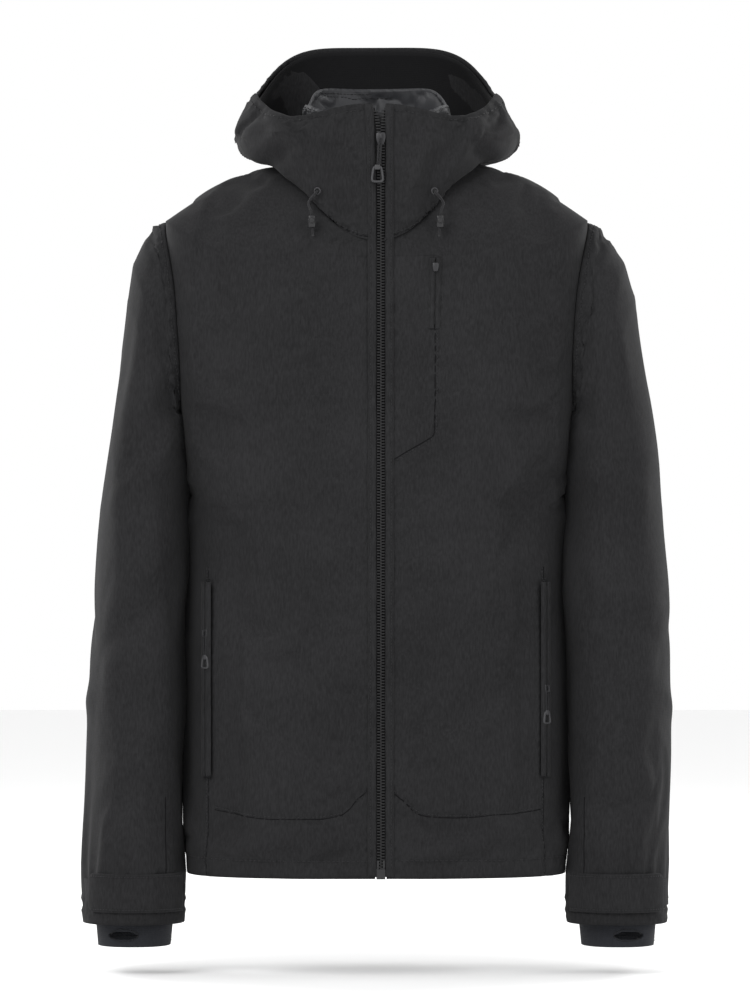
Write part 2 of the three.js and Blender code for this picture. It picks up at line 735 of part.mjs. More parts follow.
for (const side of [-1, 1]) {
  const wearer = side < 0 ? "right" : "left";
  const [angle, v] = hoodPlace(side * EYELET.x, EYELET.z);
  const seat = surfaceFrame(hoodSurface, angle, v, 0.9);
  jacket.add(seat);
  const ring = new THREE.CylinderGeometry(EYELET.radius, EYELET.radius, EYELET.thick, 16);
  add(`hood_eyelet_${wearer}`, ring, "plastic", seat);

  const start = hoodFrontPoint(side * EYELET.x, EYELET.z, 3.2);
  const lockY = start.y - 7;
  const route = new THREE.CatmullRomCurve3([
    start,
    new THREE.Vector3(side * (LOCK.x + 5), (start.y + lockY) / 2 - 1, EYELET.z - 9),
    new THREE.Vector3(side * (LOCK.x + 1), lockY, LOCK.z + LOCK.height / 2 + 3),
    new THREE.Vector3(side * LOCK.x, lockY, LOCK.z),
    new THREE.Vector3(side * LOCK.x, lockY, LOCK.z - LOCK.height / 2 - 9),
  ]);
  const round = new THREE.Shape().absarc(0, 0, 1.3, 0, 2 * Math.PI);
  const cordOptions = { extrudePath: route, steps: 22, curveSegments: 4, bevelEnabled: false };
  add(`hood_cord_${wearer}`, new THREE.ExtrudeGeometry(round, cordOptions), "cord");

  const body = placedBox(side * LOCK.x, lockY, LOCK.z, LOCK.width, LOCK.depth, LOCK.height);
  const bore = new THREE.CylinderGeometry(LOCK.bore, LOCK.bore, LOCK.height + 4, 12);
  bore.rotateX(Math.PI / 2).translate(side * LOCK.x, lockY, LOCK.z);
  const faceY = lockY - LOCK.depth / 2;
  const buttonZ = LOCK.z + BUTTON.above;
  const seatTool = new THREE.CylinderGeometry(BUTTON.seatRadius, BUTTON.seatRadius, BUTTON.seatDepth, 14);
  seatTool.translate(side * LOCK.x, faceY, buttonZ);
  add(`cord_lock_${wearer}`, cut(body, bore, seatTool), "plastic");
  const button = new THREE.CylinderGeometry(BUTTON.radius, BUTTON.radius, BUTTON.thick, 14);
  button.translate(side * LOCK.x, faceY - BUTTON.thick / 2 - CLEAR, buttonZ);
  add(`cord_lock_button_${wearer}`, button, "plastic");
}

// ---------------------------------------------------------------- sleeves and cuffs

const CUFF_FRAME_Z = -737;
const TAB_SPAN = { free: 0.66, sewn: 2.66 };
const PATCH_SPAN = { from: -0.45, to: 0.95 };
const TAB_HALF_HEIGHT = 20;
const TAB = { outer: 4.8, thick: 1.8 };
const HOOK = { outer: 2.6, thick: 0.9 };
const PATCH = { outer: 1.3, thick: 0.9 };
const THUMBHOLE = { x: 262, y: -155, z: -782, size: [30, 22, 7] };

function armV(z) {
  const [a, b] = [ARM[ARM_END - 1].outer[1], ARM[ARM_END].outer[1]];
  return ARM_END - 1 + (z - a) / (b - a);
}

for (const side of [-1, 1]) {
  const wearer = side < 0 ? "right" : "left";
  const surface = sleeveSurface(side);
  const shell = { from: 0, to: ARM_END, columns: 20, rows: 12 };
  add(`sleeve_${wearer}`, sleeveShell(surface, shell), "shell");
  const inner = { from: 1.2, to: 11.4, columns: 16, rows: 6, outer: -6, thick: LINING };
  add(`sleeve_lining_${wearer}`, sleeveShell(surface, inner), "lining");

  const gaiterSurface = (angle, s) => armPoint(side, side * angle, s, GAITER);
  const gaiter = sleeveShell(gaiterSurface, { from: 0, to: 1, columns: 20, rows: 4, thick: 1.6 });
  const thumbhole = placedBox(side * THUMBHOLE.x, THUMBHOLE.y, THUMBHOLE.z, ...THUMBHOLE.size);
  add(`gaiter_${wearer}`, cut(gaiter, thumbhole), "gaiter");

  const wrap = (name, [from, to], [low, high], layer, material) => {
    const span = { from: side * from, to: side * to, bottom: armV(high), top: armV(low) };
    add(name, panel(surface, { ...span, columns: 10, rows: 1, ...layer }), material);
  };
  const tabLow = CUFF_FRAME_Z - TAB_HALF_HEIGHT;
  const tabHigh = CUFF_FRAME_Z + TAB_HALF_HEIGHT;
  const hookSpan = [TAB_SPAN.free + 0.03, PATCH_SPAN.to];
  const patchSpan = [PATCH_SPAN.from, PATCH_SPAN.to];
  wrap(`cuff_tab_${wearer}`, [TAB_SPAN.free, TAB_SPAN.sewn], [tabLow, tabHigh], TAB, "shell");
  wrap(`cuff_hook_${wearer}`, hookSpan, [tabLow + 4, tabHigh - 4], HOOK, "hookLoop");
  wrap(`cuff_loop_${wearer}`, patchSpan, [tabLow + 5, tabHigh - 7], PATCH, "hookLoop");
}

export default jacket;
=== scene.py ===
import math

import bpy
import numpy as np
from mathutils import Matrix, Vector
from mathutils.kdtree import KDTree


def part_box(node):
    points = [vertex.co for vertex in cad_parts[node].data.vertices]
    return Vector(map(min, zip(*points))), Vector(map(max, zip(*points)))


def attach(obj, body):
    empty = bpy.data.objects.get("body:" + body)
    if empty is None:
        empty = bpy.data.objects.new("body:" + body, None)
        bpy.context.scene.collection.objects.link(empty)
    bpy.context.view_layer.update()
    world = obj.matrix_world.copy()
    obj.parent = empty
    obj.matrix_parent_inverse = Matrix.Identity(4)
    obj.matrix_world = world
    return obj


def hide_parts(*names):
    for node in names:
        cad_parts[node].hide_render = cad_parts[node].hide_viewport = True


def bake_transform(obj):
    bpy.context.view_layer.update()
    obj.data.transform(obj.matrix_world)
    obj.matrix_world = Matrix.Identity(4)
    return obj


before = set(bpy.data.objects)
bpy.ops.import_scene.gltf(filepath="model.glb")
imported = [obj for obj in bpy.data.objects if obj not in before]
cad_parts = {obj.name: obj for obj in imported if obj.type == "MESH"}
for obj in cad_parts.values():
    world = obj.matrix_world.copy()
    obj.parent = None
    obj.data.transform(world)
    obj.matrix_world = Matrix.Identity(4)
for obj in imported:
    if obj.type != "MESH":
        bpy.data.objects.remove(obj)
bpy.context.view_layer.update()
JACKET = "jacket"

# Sizes taken from the frame
HEM_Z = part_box("back")[0][2]
CUFF_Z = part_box("sleeve_left")[0][2]
GAITER_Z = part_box("gaiter_left")[0][2]
CHIN_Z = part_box("hood_front_left")[1][2] - 0.019
BRIM_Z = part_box("hood_brim")[1][2]
ZIP_X = (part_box("zip_chain_left")[0][0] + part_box("zip_chain_right")[1][0]) / 2

# The body's shape: half width and back depth at each height, and the lean of the front edge
LEAN = 0.05
FRONT_Y_AT_HEM = -0.2045
HALF_WIDTH = ([HEM_Z, -0.33, -0.25, -0.15, -0.046], [0.197, 0.198, 0.204, 0.215, 0.221])
BACK_Y = ([HEM_Z, -0.48, -0.22, -0.046], [0.028, 0.020, 0.044, 0.034])
SQUARENESS = ([-0.34, -0.23], [3, 4.6])
NECK = dict(half=0.088, front=-0.061, side=0.025, back=0.008, front_y=-0.1716, back_y=0.010)
SHOULDER = dict(half=0.221, front=-0.080, side=-0.039, back=-0.066)
HOOD_MIDDLE = dict(half=0.147, front=0.010, side=0.034, back=0.062, back_y=0.060)
HOOD_RIM = dict(half=0.126, front=CHIN_Z, side=CHIN_Z + 0.019, back=BRIM_Z, back_y=0.058)
RIM_DIP = 0.020
COLLAR_BASE = dict(half=0.080, front=-0.048, side=0.022, back=-0.024)
COLLAR_TOP = dict(half=0.075, front=0.064, side=0.084, back=0.108)

# Stations down a sleeve: outer x, z, inner x, z, half depth, middle y
ARM = np.array([
    [0.222, -0.040, 0.203, -0.256, 0.073, -0.075],
    [0.241, -0.060, 0.204, -0.260, 0.077, -0.077],
    [0.254, -0.085, 0.205, -0.264, 0.080, -0.079],
    [0.262, -0.125, 0.206, -0.269, 0.081, -0.082],
    [0.268, -0.175, 0.206, -0.277, 0.083, -0.082],
    [0.274, -0.225, 0.206, -0.292, 0.083, -0.083],
    [0.281, -0.285, 0.205, -0.325, 0.082, -0.084],
    [0.288, -0.345, 0.204, -0.368, 0.079, -0.086],
    [0.294, -0.420, 0.202, -0.428, 0.075, -0.090],
    [0.299, -0.505, 0.201, -0.505, 0.070, -0.095],
    [0.302, -0.600, 0.200, -0.600, 0.064, -0.101],
    [0.303, -0.690, 0.1995, -0.690, 0.059, -0.107],
    [0.304, CUFF_Z, 0.1995, CUFF_Z, 0.056, -0.110],
])


# ---------------------------------------------------------------- surfaces

def rounded(value, power):
    return np.sign(value) * np.abs(value) ** (2 / power)


def front_y(z):
    return FRONT_Y_AT_HEM + LEAN * (z - HEM_Z)


def ring_points(angle, half, front, back, z, power):
    x = half * rounded(np.sin(angle), power)
    y = (front + back) / 2 - (back - front) / 2 * rounded(np.cos(angle), power)
    return np.stack([x, y, z + 0 * x], -1)


def ring_height(size, angle):
    end = np.where(np.cos(angle) > 0, size["front"], size["back"])
    return end + (size["side"] - end) * np.sin(angle) ** 2


def shoulder_points(angle):
    z = ring_height(SHOULDER, angle)
    power = SQUARENESS[1][1]
    return ring_points(angle, SHOULDER["half"], front_y(z), np.interp(z, *BACK_Y), z, power)


def neck_points(angle):
    z = ring_height(NECK, angle)
    return ring_points(angle, NECK["half"], NECK["front_y"], NECK["back_y"], z, 2.3)


def body_surface(angle, v):
    """The body shell: v is 0 at the hem, 1 at the shoulder line and 2 at the neck seam."""
    low = np.minimum(v, 1)
    z = HEM_Z + (ring_height(SHOULDER, angle) - HEM_Z) * low
    half, back, power = (np.interp(z, *pairs) for pairs in (HALF_WIDTH, BACK_Y, SQUARENESS))
    below = ring_points(angle, half, front_y(z), back, z, power)
    t = np.clip(v - 1, 0, 1)[..., None]
    above = shoulder_points(angle) * (1 - t) + neck_points(angle) * t
    above[..., 2] += 0.010 * np.sin(np.pi * t[..., 0]) * np.sin(angle) ** 2
    return np.where(v[..., None] <= 1, below, above)


def body_v(angle, z):
    return (z - HEM_Z) / (ring_height(SHOULDER, angle) - HEM_Z)


def hood_ring(size, angle):
    z = ring_height(size, angle)
    return ring_points(angle, size["half"], front_y(size["front"]), size["back_y"], z, 2.4)


def hood_surface(angle, v):
    """The hood: v is 0 at the neck seam and 1 at the rim."""
    base = neck_points(angle)
    rim = hood_ring(HOOD_RIM, angle)
    back_rim = HOOD_RIM["back"] + (HOOD_RIM["side"] - HOOD_RIM["back"]) * np.sin(angle) ** 4
    rim[..., 2] = np.where(np.cos(angle) > 0, rim[..., 2] - RIM_DIP * np.sin(2 * angle) ** 2, back_rim)
    control = 2 * hood_ring(HOOD_MIDDLE, angle) - (base + rim) / 2
    t = v[..., None]
    return (1 - t) ** 2 * base + 2 * t * (1 - t) * control + t ** 2 * rim


def collar_surface(angle, v):
    base = ring_points(angle, COLLAR_BASE["half"], front_y(-0.048) + 0.012, 0.007,
                       ring_height(COLLAR_BASE, angle), 2.3)
    arc = COLLAR_TOP["back"] + (COLLAR_TOP["side"] - COLLAR_TOP["back"]) * np.sin(angle) ** 8
    top_z = np.where(np.cos(angle) > 0, ring_height(COLLAR_TOP, angle), arc)
    top = ring_points(angle, COLLAR_TOP["half"], front_y(0.064) + 0.014, 0.008, top_z, 2.3)
    t = v[..., None]
    return base * (1 - t) + top * t


def tube_points(side, angle, s, stations):
    """A sleeve or gaiter: angle 0 is its outer edge and a quarter turn its front."""
    at = [np.interp(s, np.arange(len(stations)), stations[:, k]) for k in range(6)]
    outer_x, outer_z, inner_x, inner_z, depth, middle = at
    across = rounded(np.cos(angle), 2.3) / 2
    x = (outer_x + inner_x) / 2 + (outer_x - inner_x) * across
    z = (outer_z + inner_z) / 2 + (outer_z - inner_z) * across
    y = middle - depth * rounded(np.sin(angle), 2.3)
    return np.stack([side * x, y, z], -1)


def offset(surface, angle, v, distance):
    """Points at a distance outside a surface, which is a function of angle and v."""
    step = 1e-3
    along = surface(angle + step, v) - surface(angle - step, v)
    up = surface(angle, v + step) - surface(angle, v - step)
    normal = np.cross(along, up)
    normal /= np.maximum(np.linalg.norm(normal, axis=-1, keepdims=True), 1e-12)
    return surface(angle, v) + normal * np.asarray(distance)[..., None]


# ---------------------------------------------------------------- meshes

def make_mesh(name, points, faces, material=None):
    mesh = bpy.data.meshes.new(name)
    mesh.from_pydata([tuple(p) for p in points], [], faces)
    mesh.update()
    piece = bpy.data.objects.new(name, mesh)
    bpy.context.scene.collection.objects.link(piece)
    mesh.shade_smooth()
    if material:
        mesh.materials.append(material)
    return piece


def grid_faces(rows, columns, closed):
    faces = []
    last = columns if closed else columns - 1
    for r in range(rows - 1):
        for c in range(last):
            d = (c + 1) % columns
            faces.append((r * columns + c, r * columns + d, (r + 1) * columns + d, (r + 1) * columns + c))
    return faces


def add_uv(piece, rows, columns, closed, size_u, size_v):
    """Cloth coordinates in metres, so that a weave has the same size on every piece."""
    layer = piece.data.uv_layers.new(name="cloth")
    for polygon in piece.data.polygons:
        for loop in polygon.loop_indices:
            vertex = piece.data.loops[loop].vertex_index
            r, c = divmod(vertex, columns)
            layer.data[loop].uv = (size_u * c / columns, size_v * r / rows)


def coords(piece):
    flat = np.empty(len(piece.data.vertices) * 3)
    piece.data.vertices.foreach_get("co", flat)
    return flat.reshape(-1, 3)


def set_coords(piece, points):
    piece.data.vertices.foreach_set("co", np.ascontiguousarray(points).ravel())
    piece.data.update()


def normals(piece):
    flat = np.empty(len(piece.data.vertices) * 3)
    piece.data.vertex_normals.foreach_get("vector", flat)
    return flat.reshape(-1, 3)


def use_modifier(piece, kind, **values):
    modifier = piece.modifiers.new(kind.lower(), kind)
    for key, value in values.items():
        setattr(modifier, key, value)
    bpy.context.view_layer.objects.active = piece
    bpy.ops.object.modifier_apply(modifier=modifier.name)


def even_angles(surface, u, v, count):
    """Angles that space points evenly along a surface's ring."""
    fine = np.linspace(u[0], u[1], 2000)
    points = surface(fine, np.full(fine.shape, float(v)))
    steps = np.linalg.norm(np.diff(points, axis=0), axis=1)
    length = np.concatenate([[0], np.cumsum(steps)])
    return np.interp(np.linspace(0, length[-1], count), length, fine), length[-1]


# ---------------------------------------------------------------- cloth

SIM_FRAMES = 18


def simulate(piece, pinned, growth=0.05, pressure=0.0, reach=0.008):
    """Lets a fabric piece that is cut a little large buckle into folds, held where pinned is near 1."""
    rest = coords(piece)
    group = piece.vertex_groups.new(name="held")
    for index, weight in enumerate(pinned):
        if weight > 0.01:
            group.add([index], float(weight), "REPLACE")
    modifier = piece.modifiers.new("cloth", "CLOTH")
    settings = modifier.settings
    settings.quality = 4
    settings.mass = 0.2
    settings.tension_stiffness = 18
    settings.compression_stiffness = 18
    settings.shear_stiffness = 8
    settings.bending_stiffness = 1.2
    settings.shrink_min = -growth
    settings.vertex_group_mass = "held"
    settings.use_pressure = pressure != 0
    settings.uniform_pressure_force = pressure
    settings.effector_weights.gravity = 0
    modifier.collision_settings.use_collision = False
    modifier.point_cache.frame_start = 1
    modifier.point_cache.frame_end = SIM_FRAMES
    for number in range(1, SIM_FRAMES + 1):
        bpy.context.scene.frame_set(number)
    evaluated = piece.evaluated_get(bpy.context.evaluated_depsgraph_get())
    moved = np.empty(len(rest) * 3)
    evaluated.data.vertices.foreach_get("co", moved)
    piece.modifiers.remove(modifier)
    bpy.context.scene.frame_set(1)
    step = moved.reshape(-1, 3) - rest
    length = np.linalg.norm(step, axis=1, keepdims=True)
    set_coords(piece, rest + step * reach * np.tanh(length / reach) / np.maximum(length, 1e-9))


def near_rows(rows, columns, bottom, top, sides=0):
    """Pin weights that fade from the edges of a grid: counts of rows and columns."""
    r = np.arange(rows)[:, None]
    c = np.arange(columns)[None, :]
    weight = np.zeros((rows, columns))
    if bottom:
        weight = np.maximum(weight, 1 - r / bottom)
    if top:
        weight = np.maximum(weight, 1 - (rows - 1 - r) / top)
    if sides:
        weight = np.maximum(weight, 1 - np.minimum(c, columns - 1 - c) / sides)
    return np.clip(weight, 0, 1).ravel()


def press_seams(piece, lines, depth=0.0016, width=0.0035, pucker=0.0006):
    """Draws the fabric in along seam lines, with a soft roll on each side."""
    tree = KDTree(sum(len(line) for line in lines))
    index = 0
    for line in lines:
        for point in line:
            tree.insert(point, index)
            index += 1
    tree.balance()
    points = coords(piece)
    facing = normals(piece)
    move = np.zeros(len(points))
    for i, point in enumerate(points):
        distance = tree.find(point)[2]
        if distance < 6 * width:
            r = distance / width
            ripple = pucker * math.sin(point[2] * 520 + point[0] * 410) * math.exp(-((r - 2.2) / 1.6) ** 2)
            move[i] = -depth * math.exp(-r * r) + 0.45 * depth * math.exp(-((r - 2) / 1.1) ** 2) + ripple
    set_coords(piece, points + facing * move[:, None])


def press_folds(piece, folds):
    """Adds long soft folds. Each is (start, end, half width, height), with a height below 0 for a valley."""
    points = coords(piece)
    facing = normals(piece)
    move = np.zeros(len(points))
    for start, end, width, height in folds:
        start, end = np.array(start), np.array(end)
        line = end - start
        t = np.clip((points - start) @ line / (line @ line), 0, 1)
        near = start + t[:, None] * line
        distance = np.linalg.norm(points - near, axis=1)
        taper = np.sin(np.pi * (0.08 + 0.84 * t)) ** 0.7
        move += height * taper * np.exp(-(distance / width) ** 2)
    set_coords(piece, points + facing * move[:, None])


WAVES = 10


def soft_noise(piece, amplitude, size, seed, stretch=(1, 1, 1)):
    """Broad unevenness, as fabric that has been handled shows."""
    rng = np.random.default_rng(seed)
    points = coords(piece)
    facing = normals(piece)
    scaled = points / size * np.array(stretch)
    move = np.zeros(len(points))
    for _ in range(WAVES):
        wave = rng.normal(size=3)
        wave *= rng.uniform(0.6, 1.9) * 2 * np.pi / np.linalg.norm(wave) / 2
        move += np.sin(scaled @ wave + rng.uniform(0, 6.28)) * rng.uniform(0.4, 1)
    set_coords(piece, points + facing * (amplitude * move / 2.6)[:, None])


def thicken(piece, thickness):
    use_modifier(piece, "SOLIDIFY", thickness=thickness, offset=-1.0)


# ---------------------------------------------------------------- materials

def fabric(name, colour, roughness=0.85, weave=1400, bump=0.25, sheen=0.03, mottle=0.14, shine=0.12):
    """A woven cloth: crossed yarns as relief, broad unevenness in the dye, and a soft sheen."""
    material = bpy.data.materials.new(name)
    material.use_nodes = True
    nodes = material.node_tree.nodes
    links = material.node_tree.links
    shader = nodes["Principled BSDF"]
    shader.inputs["Roughness"].default_value = roughness
    shader.inputs["Sheen Weight"].default_value = sheen
    shader.inputs["Sheen Roughness"].default_value = 0.5
    shader.inputs["Specular IOR Level"].default_value = shine
    place = nodes.new("ShaderNodeTexCoord")
    broad = nodes.new("ShaderNodeTexNoise")
    broad.inputs["Scale"].default_value = 14
    broad.inputs["Detail"].default_value = 5
    softer = nodes.new("ShaderNodeMath")
    softer.operation = "MULTIPLY"
    softer.inputs[1].default_value = 0.35
    fine = nodes.new("ShaderNodeTexNoise")
    fine.inputs["Scale"].default_value = 650
    fine.inputs["Detail"].default_value = 2
    tint = nodes.new("ShaderNodeValToRGB")
    low, high = tint.color_ramp.elements
    low.position, high.position = 0.38, 0.72
    low.color = (*[c * (1 - mottle) for c in colour], 1)
    high.color = (*[c * (1 + mottle) for c in colour], 1)
    blend = nodes.new("ShaderNodeMath")
    blend.operation = "MULTIPLY_ADD"
    blend.inputs[1].default_value = 0.75
    drawn = nodes.new("ShaderNodeMapping")
    drawn.inputs["Scale"].default_value = (1, 1, 0.22)
    links.new(place.outputs["Object"], broad.inputs["Vector"])
    links.new(place.outputs["Object"], drawn.inputs["Vector"])
    links.new(drawn.outputs["Vector"], fine.inputs["Vector"])
    links.new(fine.outputs["Fac"], blend.inputs[0])
    links.new(broad.outputs["Fac"], softer.inputs[0])
    links.new(softer.outputs["Value"], blend.inputs[2])
    links.new(blend.outputs["Value"], tint.inputs["Fac"])
    links.new(tint.outputs["Color"], shader.inputs["Base Color"])
    height = None
    for axis in ("X", "Y"):
        wave = nodes.new("ShaderNodeTexWave")
        wave.bands_direction = axis
        wave.inputs["Scale"].default_value = weave / 6.28
        wave.inputs["Distortion"].default_value = 0.6
        links.new(place.outputs["UV"], wave.inputs["Vector"])
        if height is None:
            height = wave.outputs["Fac"]
            continue
        cross = nodes.new("ShaderNodeMath")
        cross.operation = "MULTIPLY"
        links.new(height, cross.inputs[0])
        links.new(wave.outputs["Fac"], cross.inputs[1])
        height = cross.outputs["Value"]
    relief = nodes.new("ShaderNodeBump")
    relief.inputs["Strength"].default_value = bump
    relief.inputs["Distance"].default_value = 0.0004
    links.new(height, relief.inputs["Height"])
    links.new(relief.outputs["Normal"], shader.inputs["Normal"])
    return material


def solid(name, colour, roughness, metallic=0.0, grain=220, wear=0.12):
    """Moulded or cast parts: slight mottling and a roughness that varies with handling."""
    material = bpy.data.materials.new(name)
    material.use_nodes = True
    nodes = material.node_tree.nodes
    links = material.node_tree.links
    shader = nodes["Principled BSDF"]
    shader.inputs["Metallic"].default_value = metallic
    shader.inputs["Specular IOR Level"].default_value = 0.3
    place = nodes.new("ShaderNodeTexCoord")
    noise = nodes.new("ShaderNodeTexNoise")
    noise.inputs["Scale"].default_value = grain
    noise.inputs["Detail"].default_value = 4
    tint = nodes.new("ShaderNodeValToRGB")
    low, high = tint.color_ramp.elements
    low.color = (*[c * (1 - wear) for c in colour], 1)
    high.color = (*[c * (1 + wear) for c in colour], 1)
    dull = nodes.new("ShaderNodeMapRange")
    dull.inputs["To Min"].default_value = roughness - 0.08
    dull.inputs["To Max"].default_value = roughness + 0.08
    links.new(place.outputs["Object"], noise.inputs["Vector"])
    links.new(noise.outputs["Fac"], tint.inputs["Fac"])
    links.new(noise.outputs["Fac"], dull.inputs["Value"])
    links.new(tint.outputs["Color"], shader.inputs["Base Color"])
    links.new(dull.outputs["Result"], shader.inputs["Roughness"])
    return material


SHELL_CLOTH = fabric("shell_cloth", (0.0122, 0.0122, 0.0129), roughness=0.9, sheen=0.02, mottle=0.30)
LINING_FINISH = dict(roughness=0.55, weave=2400, bump=0.12, shine=0.3)
# One lining cloth in two copies: the lining colour is lowered as painted shade inside the jacket, and the
# collar colour is raised as painted light at the neck opening.
LINING_CLOTH_SHADED = fabric("lining_cloth_shaded", (0.010, 0.0103, 0.0118), **LINING_FINISH)
COLLAR_CLOTH_LIT = fabric("collar_cloth_lit", (0.017, 0.0175, 0.0200), **LINING_FINISH)
# The brim colour is painted shade: far darker than the shell, for the shade inside the back of the hood.
BRIM_SHADE_CLOTH = fabric("brim_shade_cloth", (0.004, 0.004, 0.0045), roughness=0.8, weave=1800)
GAITER_KNIT = fabric("gaiter_knit", (0.016, 0.017, 0.020), roughness=0.9, weave=900, bump=0.5)
TAPE_WEAVE = fabric("tape_weave", (0.004, 0.004, 0.0044), roughness=0.8, weave=1800, bump=0.4)
# The seam ribbon colour is painted shade: darker than the shell, it stands in for the shadow in each seam's
# groove.
SEAM_SHADOW = fabric("seam_groove_shade", (0.004, 0.004, 0.0044), roughness=0.95, weave=2000, sheen=0.0)
THREAD = fabric("thread", (0.016, 0.016, 0.017), roughness=0.6, weave=3000)
CORD_BRAID = fabric("cord_braid", (0.010, 0.010, 0.011), roughness=0.65, weave=3000, bump=0.5, sheen=0.1)
HOOK_PILE = fabric("hook_pile", (0.012, 0.012, 0.013), roughness=1.0, weave=700, bump=1.0)
LABEL_CLOTH = fabric("label_cloth", (0.07, 0.07, 0.072), roughness=0.7, weave=2200)
TOOTH_PLASTIC = solid("tooth_plastic", (0.006, 0.006, 0.0065), 0.5)
SLIDER_METAL = solid("slider_metal", (0.030, 0.030, 0.032), 0.38, metallic=0.5)
PULL_PLASTIC = solid("pull_plastic", (0.028, 0.028, 0.030), 0.5)
LOCK_PLASTIC = solid("lock_plastic", (0.014, 0.014, 0.015), 0.36)


# ---------------------------------------------------------------- small shapes

def join(name, parts, material):
    """One mesh from a list of (points, faces)."""
    points, faces = [], []
    for part_points, part_faces in parts:
        base = len(points)
        points.extend(part_points)
        faces.extend([tuple(base + i for i in face) for face in part_faces])
    return make_mesh(name, points, faces, material)


BOX_FACES = [(0, 3, 2, 1), (4, 5, 6, 7), (0, 1, 5, 4), (1, 2, 6, 5), (2, 3, 7, 6), (3, 0, 4, 7)]


def box_part(middle, across, deep, up, size):
    """A box as (points, faces): its middle, three directions and three full sizes."""
    middle = np.array(middle)
    half = [np.array(d) * s / 2 for d, s in zip((across, deep, up), size)]
    signs = [(-1, -1), (1, -1), (1, 1), (-1, 1)]
    points = [middle + a * half[0] + b * half[1] + c * half[2] for c in (-1, 1) for a, b in signs]
    return points, BOX_FACES


def soften(piece, width, segments=2):
    use_modifier(piece, "BEVEL", width=width, segments=segments, limit_method="ANGLE")
    piece.data.shade_smooth()
    return piece


def tube(name, points, radius, material, sides=10, braid=0.0, closed=False):
    """A round cord along points, with an optional braided relief."""
    points = np.array(points, dtype=float)
    count = len(points)
    ahead = np.roll(points, -1, axis=0) - np.roll(points, 1, axis=0)
    if not closed:
        ahead[0] = points[1] - points[0]
        ahead[-1] = points[-1] - points[-2]
    ahead /= np.linalg.norm(ahead, axis=1, keepdims=True)
    side = np.cross(ahead[0], (0, 1, 0.01))
    rings = []
    for i in range(count):
        side = side - ahead[i] * (side @ ahead[i])
        side /= np.linalg.norm(side)
        other = np.cross(ahead[i], side)
        turn = np.linspace(0, 2 * np.pi, sides, endpoint=False)
        relief = 1 + braid * np.cos(2 * turn + i * 0.9) * np.cos(2 * turn - i * 0.9)
        ring = points[i] + radius * relief[:, None] * (
            np.cos(turn)[:, None] * side + np.sin(turn)[:, None] * other)
        rings.append(ring)
    faces = []
    for i in range(count if closed else count - 1):
        j = (i + 1) % count
        for k in range(sides):
            m = (k + 1) % sides
            faces.append((i * sides + k, i * sides + m, j * sides + m, j * sides + k))
    if not closed:
        faces.append(tuple(range(sides))[::-1])
        faces.append(tuple((count - 1) * sides + k for k in range(sides)))
    return make_mesh(name, np.concatenate(rings), faces, material)


def smooth_path(points, count):
    """A rounded path through a few points (Catmull-Rom)."""
    p = np.array([points[0], *points, points[-1]], dtype=float)
    out = []
    spans = len(p) - 3
    for value in np.linspace(0, spans - 1e-6, count):
        i = int(value)
        t = value - i
        a, b, c, d = p[i:i + 4]
        out.append(0.5 * (2 * b + (c - a) * t + (2 * a - 5 * b + 4 * c - d) * t * t
                          + (3 * b - a - 3 * c + d) * t ** 3))
    return np.array(out)


def resample(points, spacing):
    points = np.array(points, dtype=float)
    steps = np.linalg.norm(np.diff(points, axis=0), axis=1)
    length = np.concatenate([[0], np.cumsum(steps)])
    count = max(2, int(length[-1] / spacing))
    at = np.linspace(0, length[-1], count)
    return np.stack([np.interp(at, length, points[:, k]) for k in range(3)], -1)


def settle_line(piece, points):
    """Where a line lies on a piece, with the outward direction at each point."""
    found = [piece.closest_point_on_mesh(Vector(point)) for point in points]
    facing = np.array([hit[2] for hit in found])
    spread_out = np.pad(facing, ((6, 6), (0, 0)), mode="edge")
    facing = np.stack([np.convolve(spread_out[:, k], np.ones(13) / 13, mode="valid") for k in range(3)], -1)
    settled = []
    for point, out, hit in zip(points, facing, found):
        out = Vector(out).normalized()
        struck, where, _, _ = piece.ray_cast(Vector(point) + out * 0.012, -out, distance=0.03)
        settled.append((where if struck else hit[1], out))
    return settled


def stitched(name, piece, line, body, pitch=0.0036, rows=(0.0,), radius=0.00036):
    """Rows of stitches along a line, laid on the piece's own surface."""
    parts = []
    points = resample(line, pitch)
    for shift in rows:
        middles = (points[:-1] + points[1:]) / 2
        for a, b, (where, facing) in zip(points[:-1], points[1:], settle_line(piece, middles)):
            ahead = Vector(b - a).normalized()
            beside = facing.cross(ahead).normalized()
            middle = where + beside * shift + facing * radius * 0.6
            size = (pitch * 0.62, radius * 2, radius * 2)
            parts.append(box_part(middle, ahead, beside, facing, size))
    made = join(name, parts, THREAD)
    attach(made, body)
    return made


def seam_shade_ribbon(name, piece, line, body, width=0.0011, material=None, lift=0.00012):
    """Painted shade in the groove where two cut edges meet, as a thin dark ribbon laid along the seam."""
    points = resample(line, 0.004)
    left, right = [], []
    for i, (where, facing) in enumerate(settle_line(piece, points)):
        ahead = Vector(points[min(i + 1, len(points) - 1)] - points[max(i - 1, 0)]).normalized()
        beside = facing.cross(ahead).normalized() * width / 2
        left.append(where + beside + facing * lift)
        right.append(where - beside + facing * lift)
    count = len(points)
    faces = [(i, count + i, count + i + 1, i + 1) for i in range(count - 1)]
    made = make_mesh(name, left + right, faces, material or SEAM_SHADOW)
    thicken(made, 0.0004)
    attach(made, body)
    return made


# ---------------------------------------------------------------- camera and light

SIGHT_Z = -0.331
CAMERA_AWAY = 5.0
FIELD_HIGH = 1.05  # what the picture spans from top to bottom, at the middle of the jacket


def add_camera():
    data = bpy.data.cameras.new("camera")
    data.sensor_fit = "VERTICAL"
    data.sensor_height = 24
    middle_y = -0.08
    data.lens = data.sensor_height * (CAMERA_AWAY + middle_y) / FIELD_HIGH
    camera = bpy.data.objects.new("camera", data)
    camera.location = (-0.001, -CAMERA_AWAY, SIGHT_Z)
    camera.rotation_euler = (math.pi / 2, 0, 0)
    bpy.context.scene.collection.objects.link(camera)
    bpy.context.scene.camera = camera


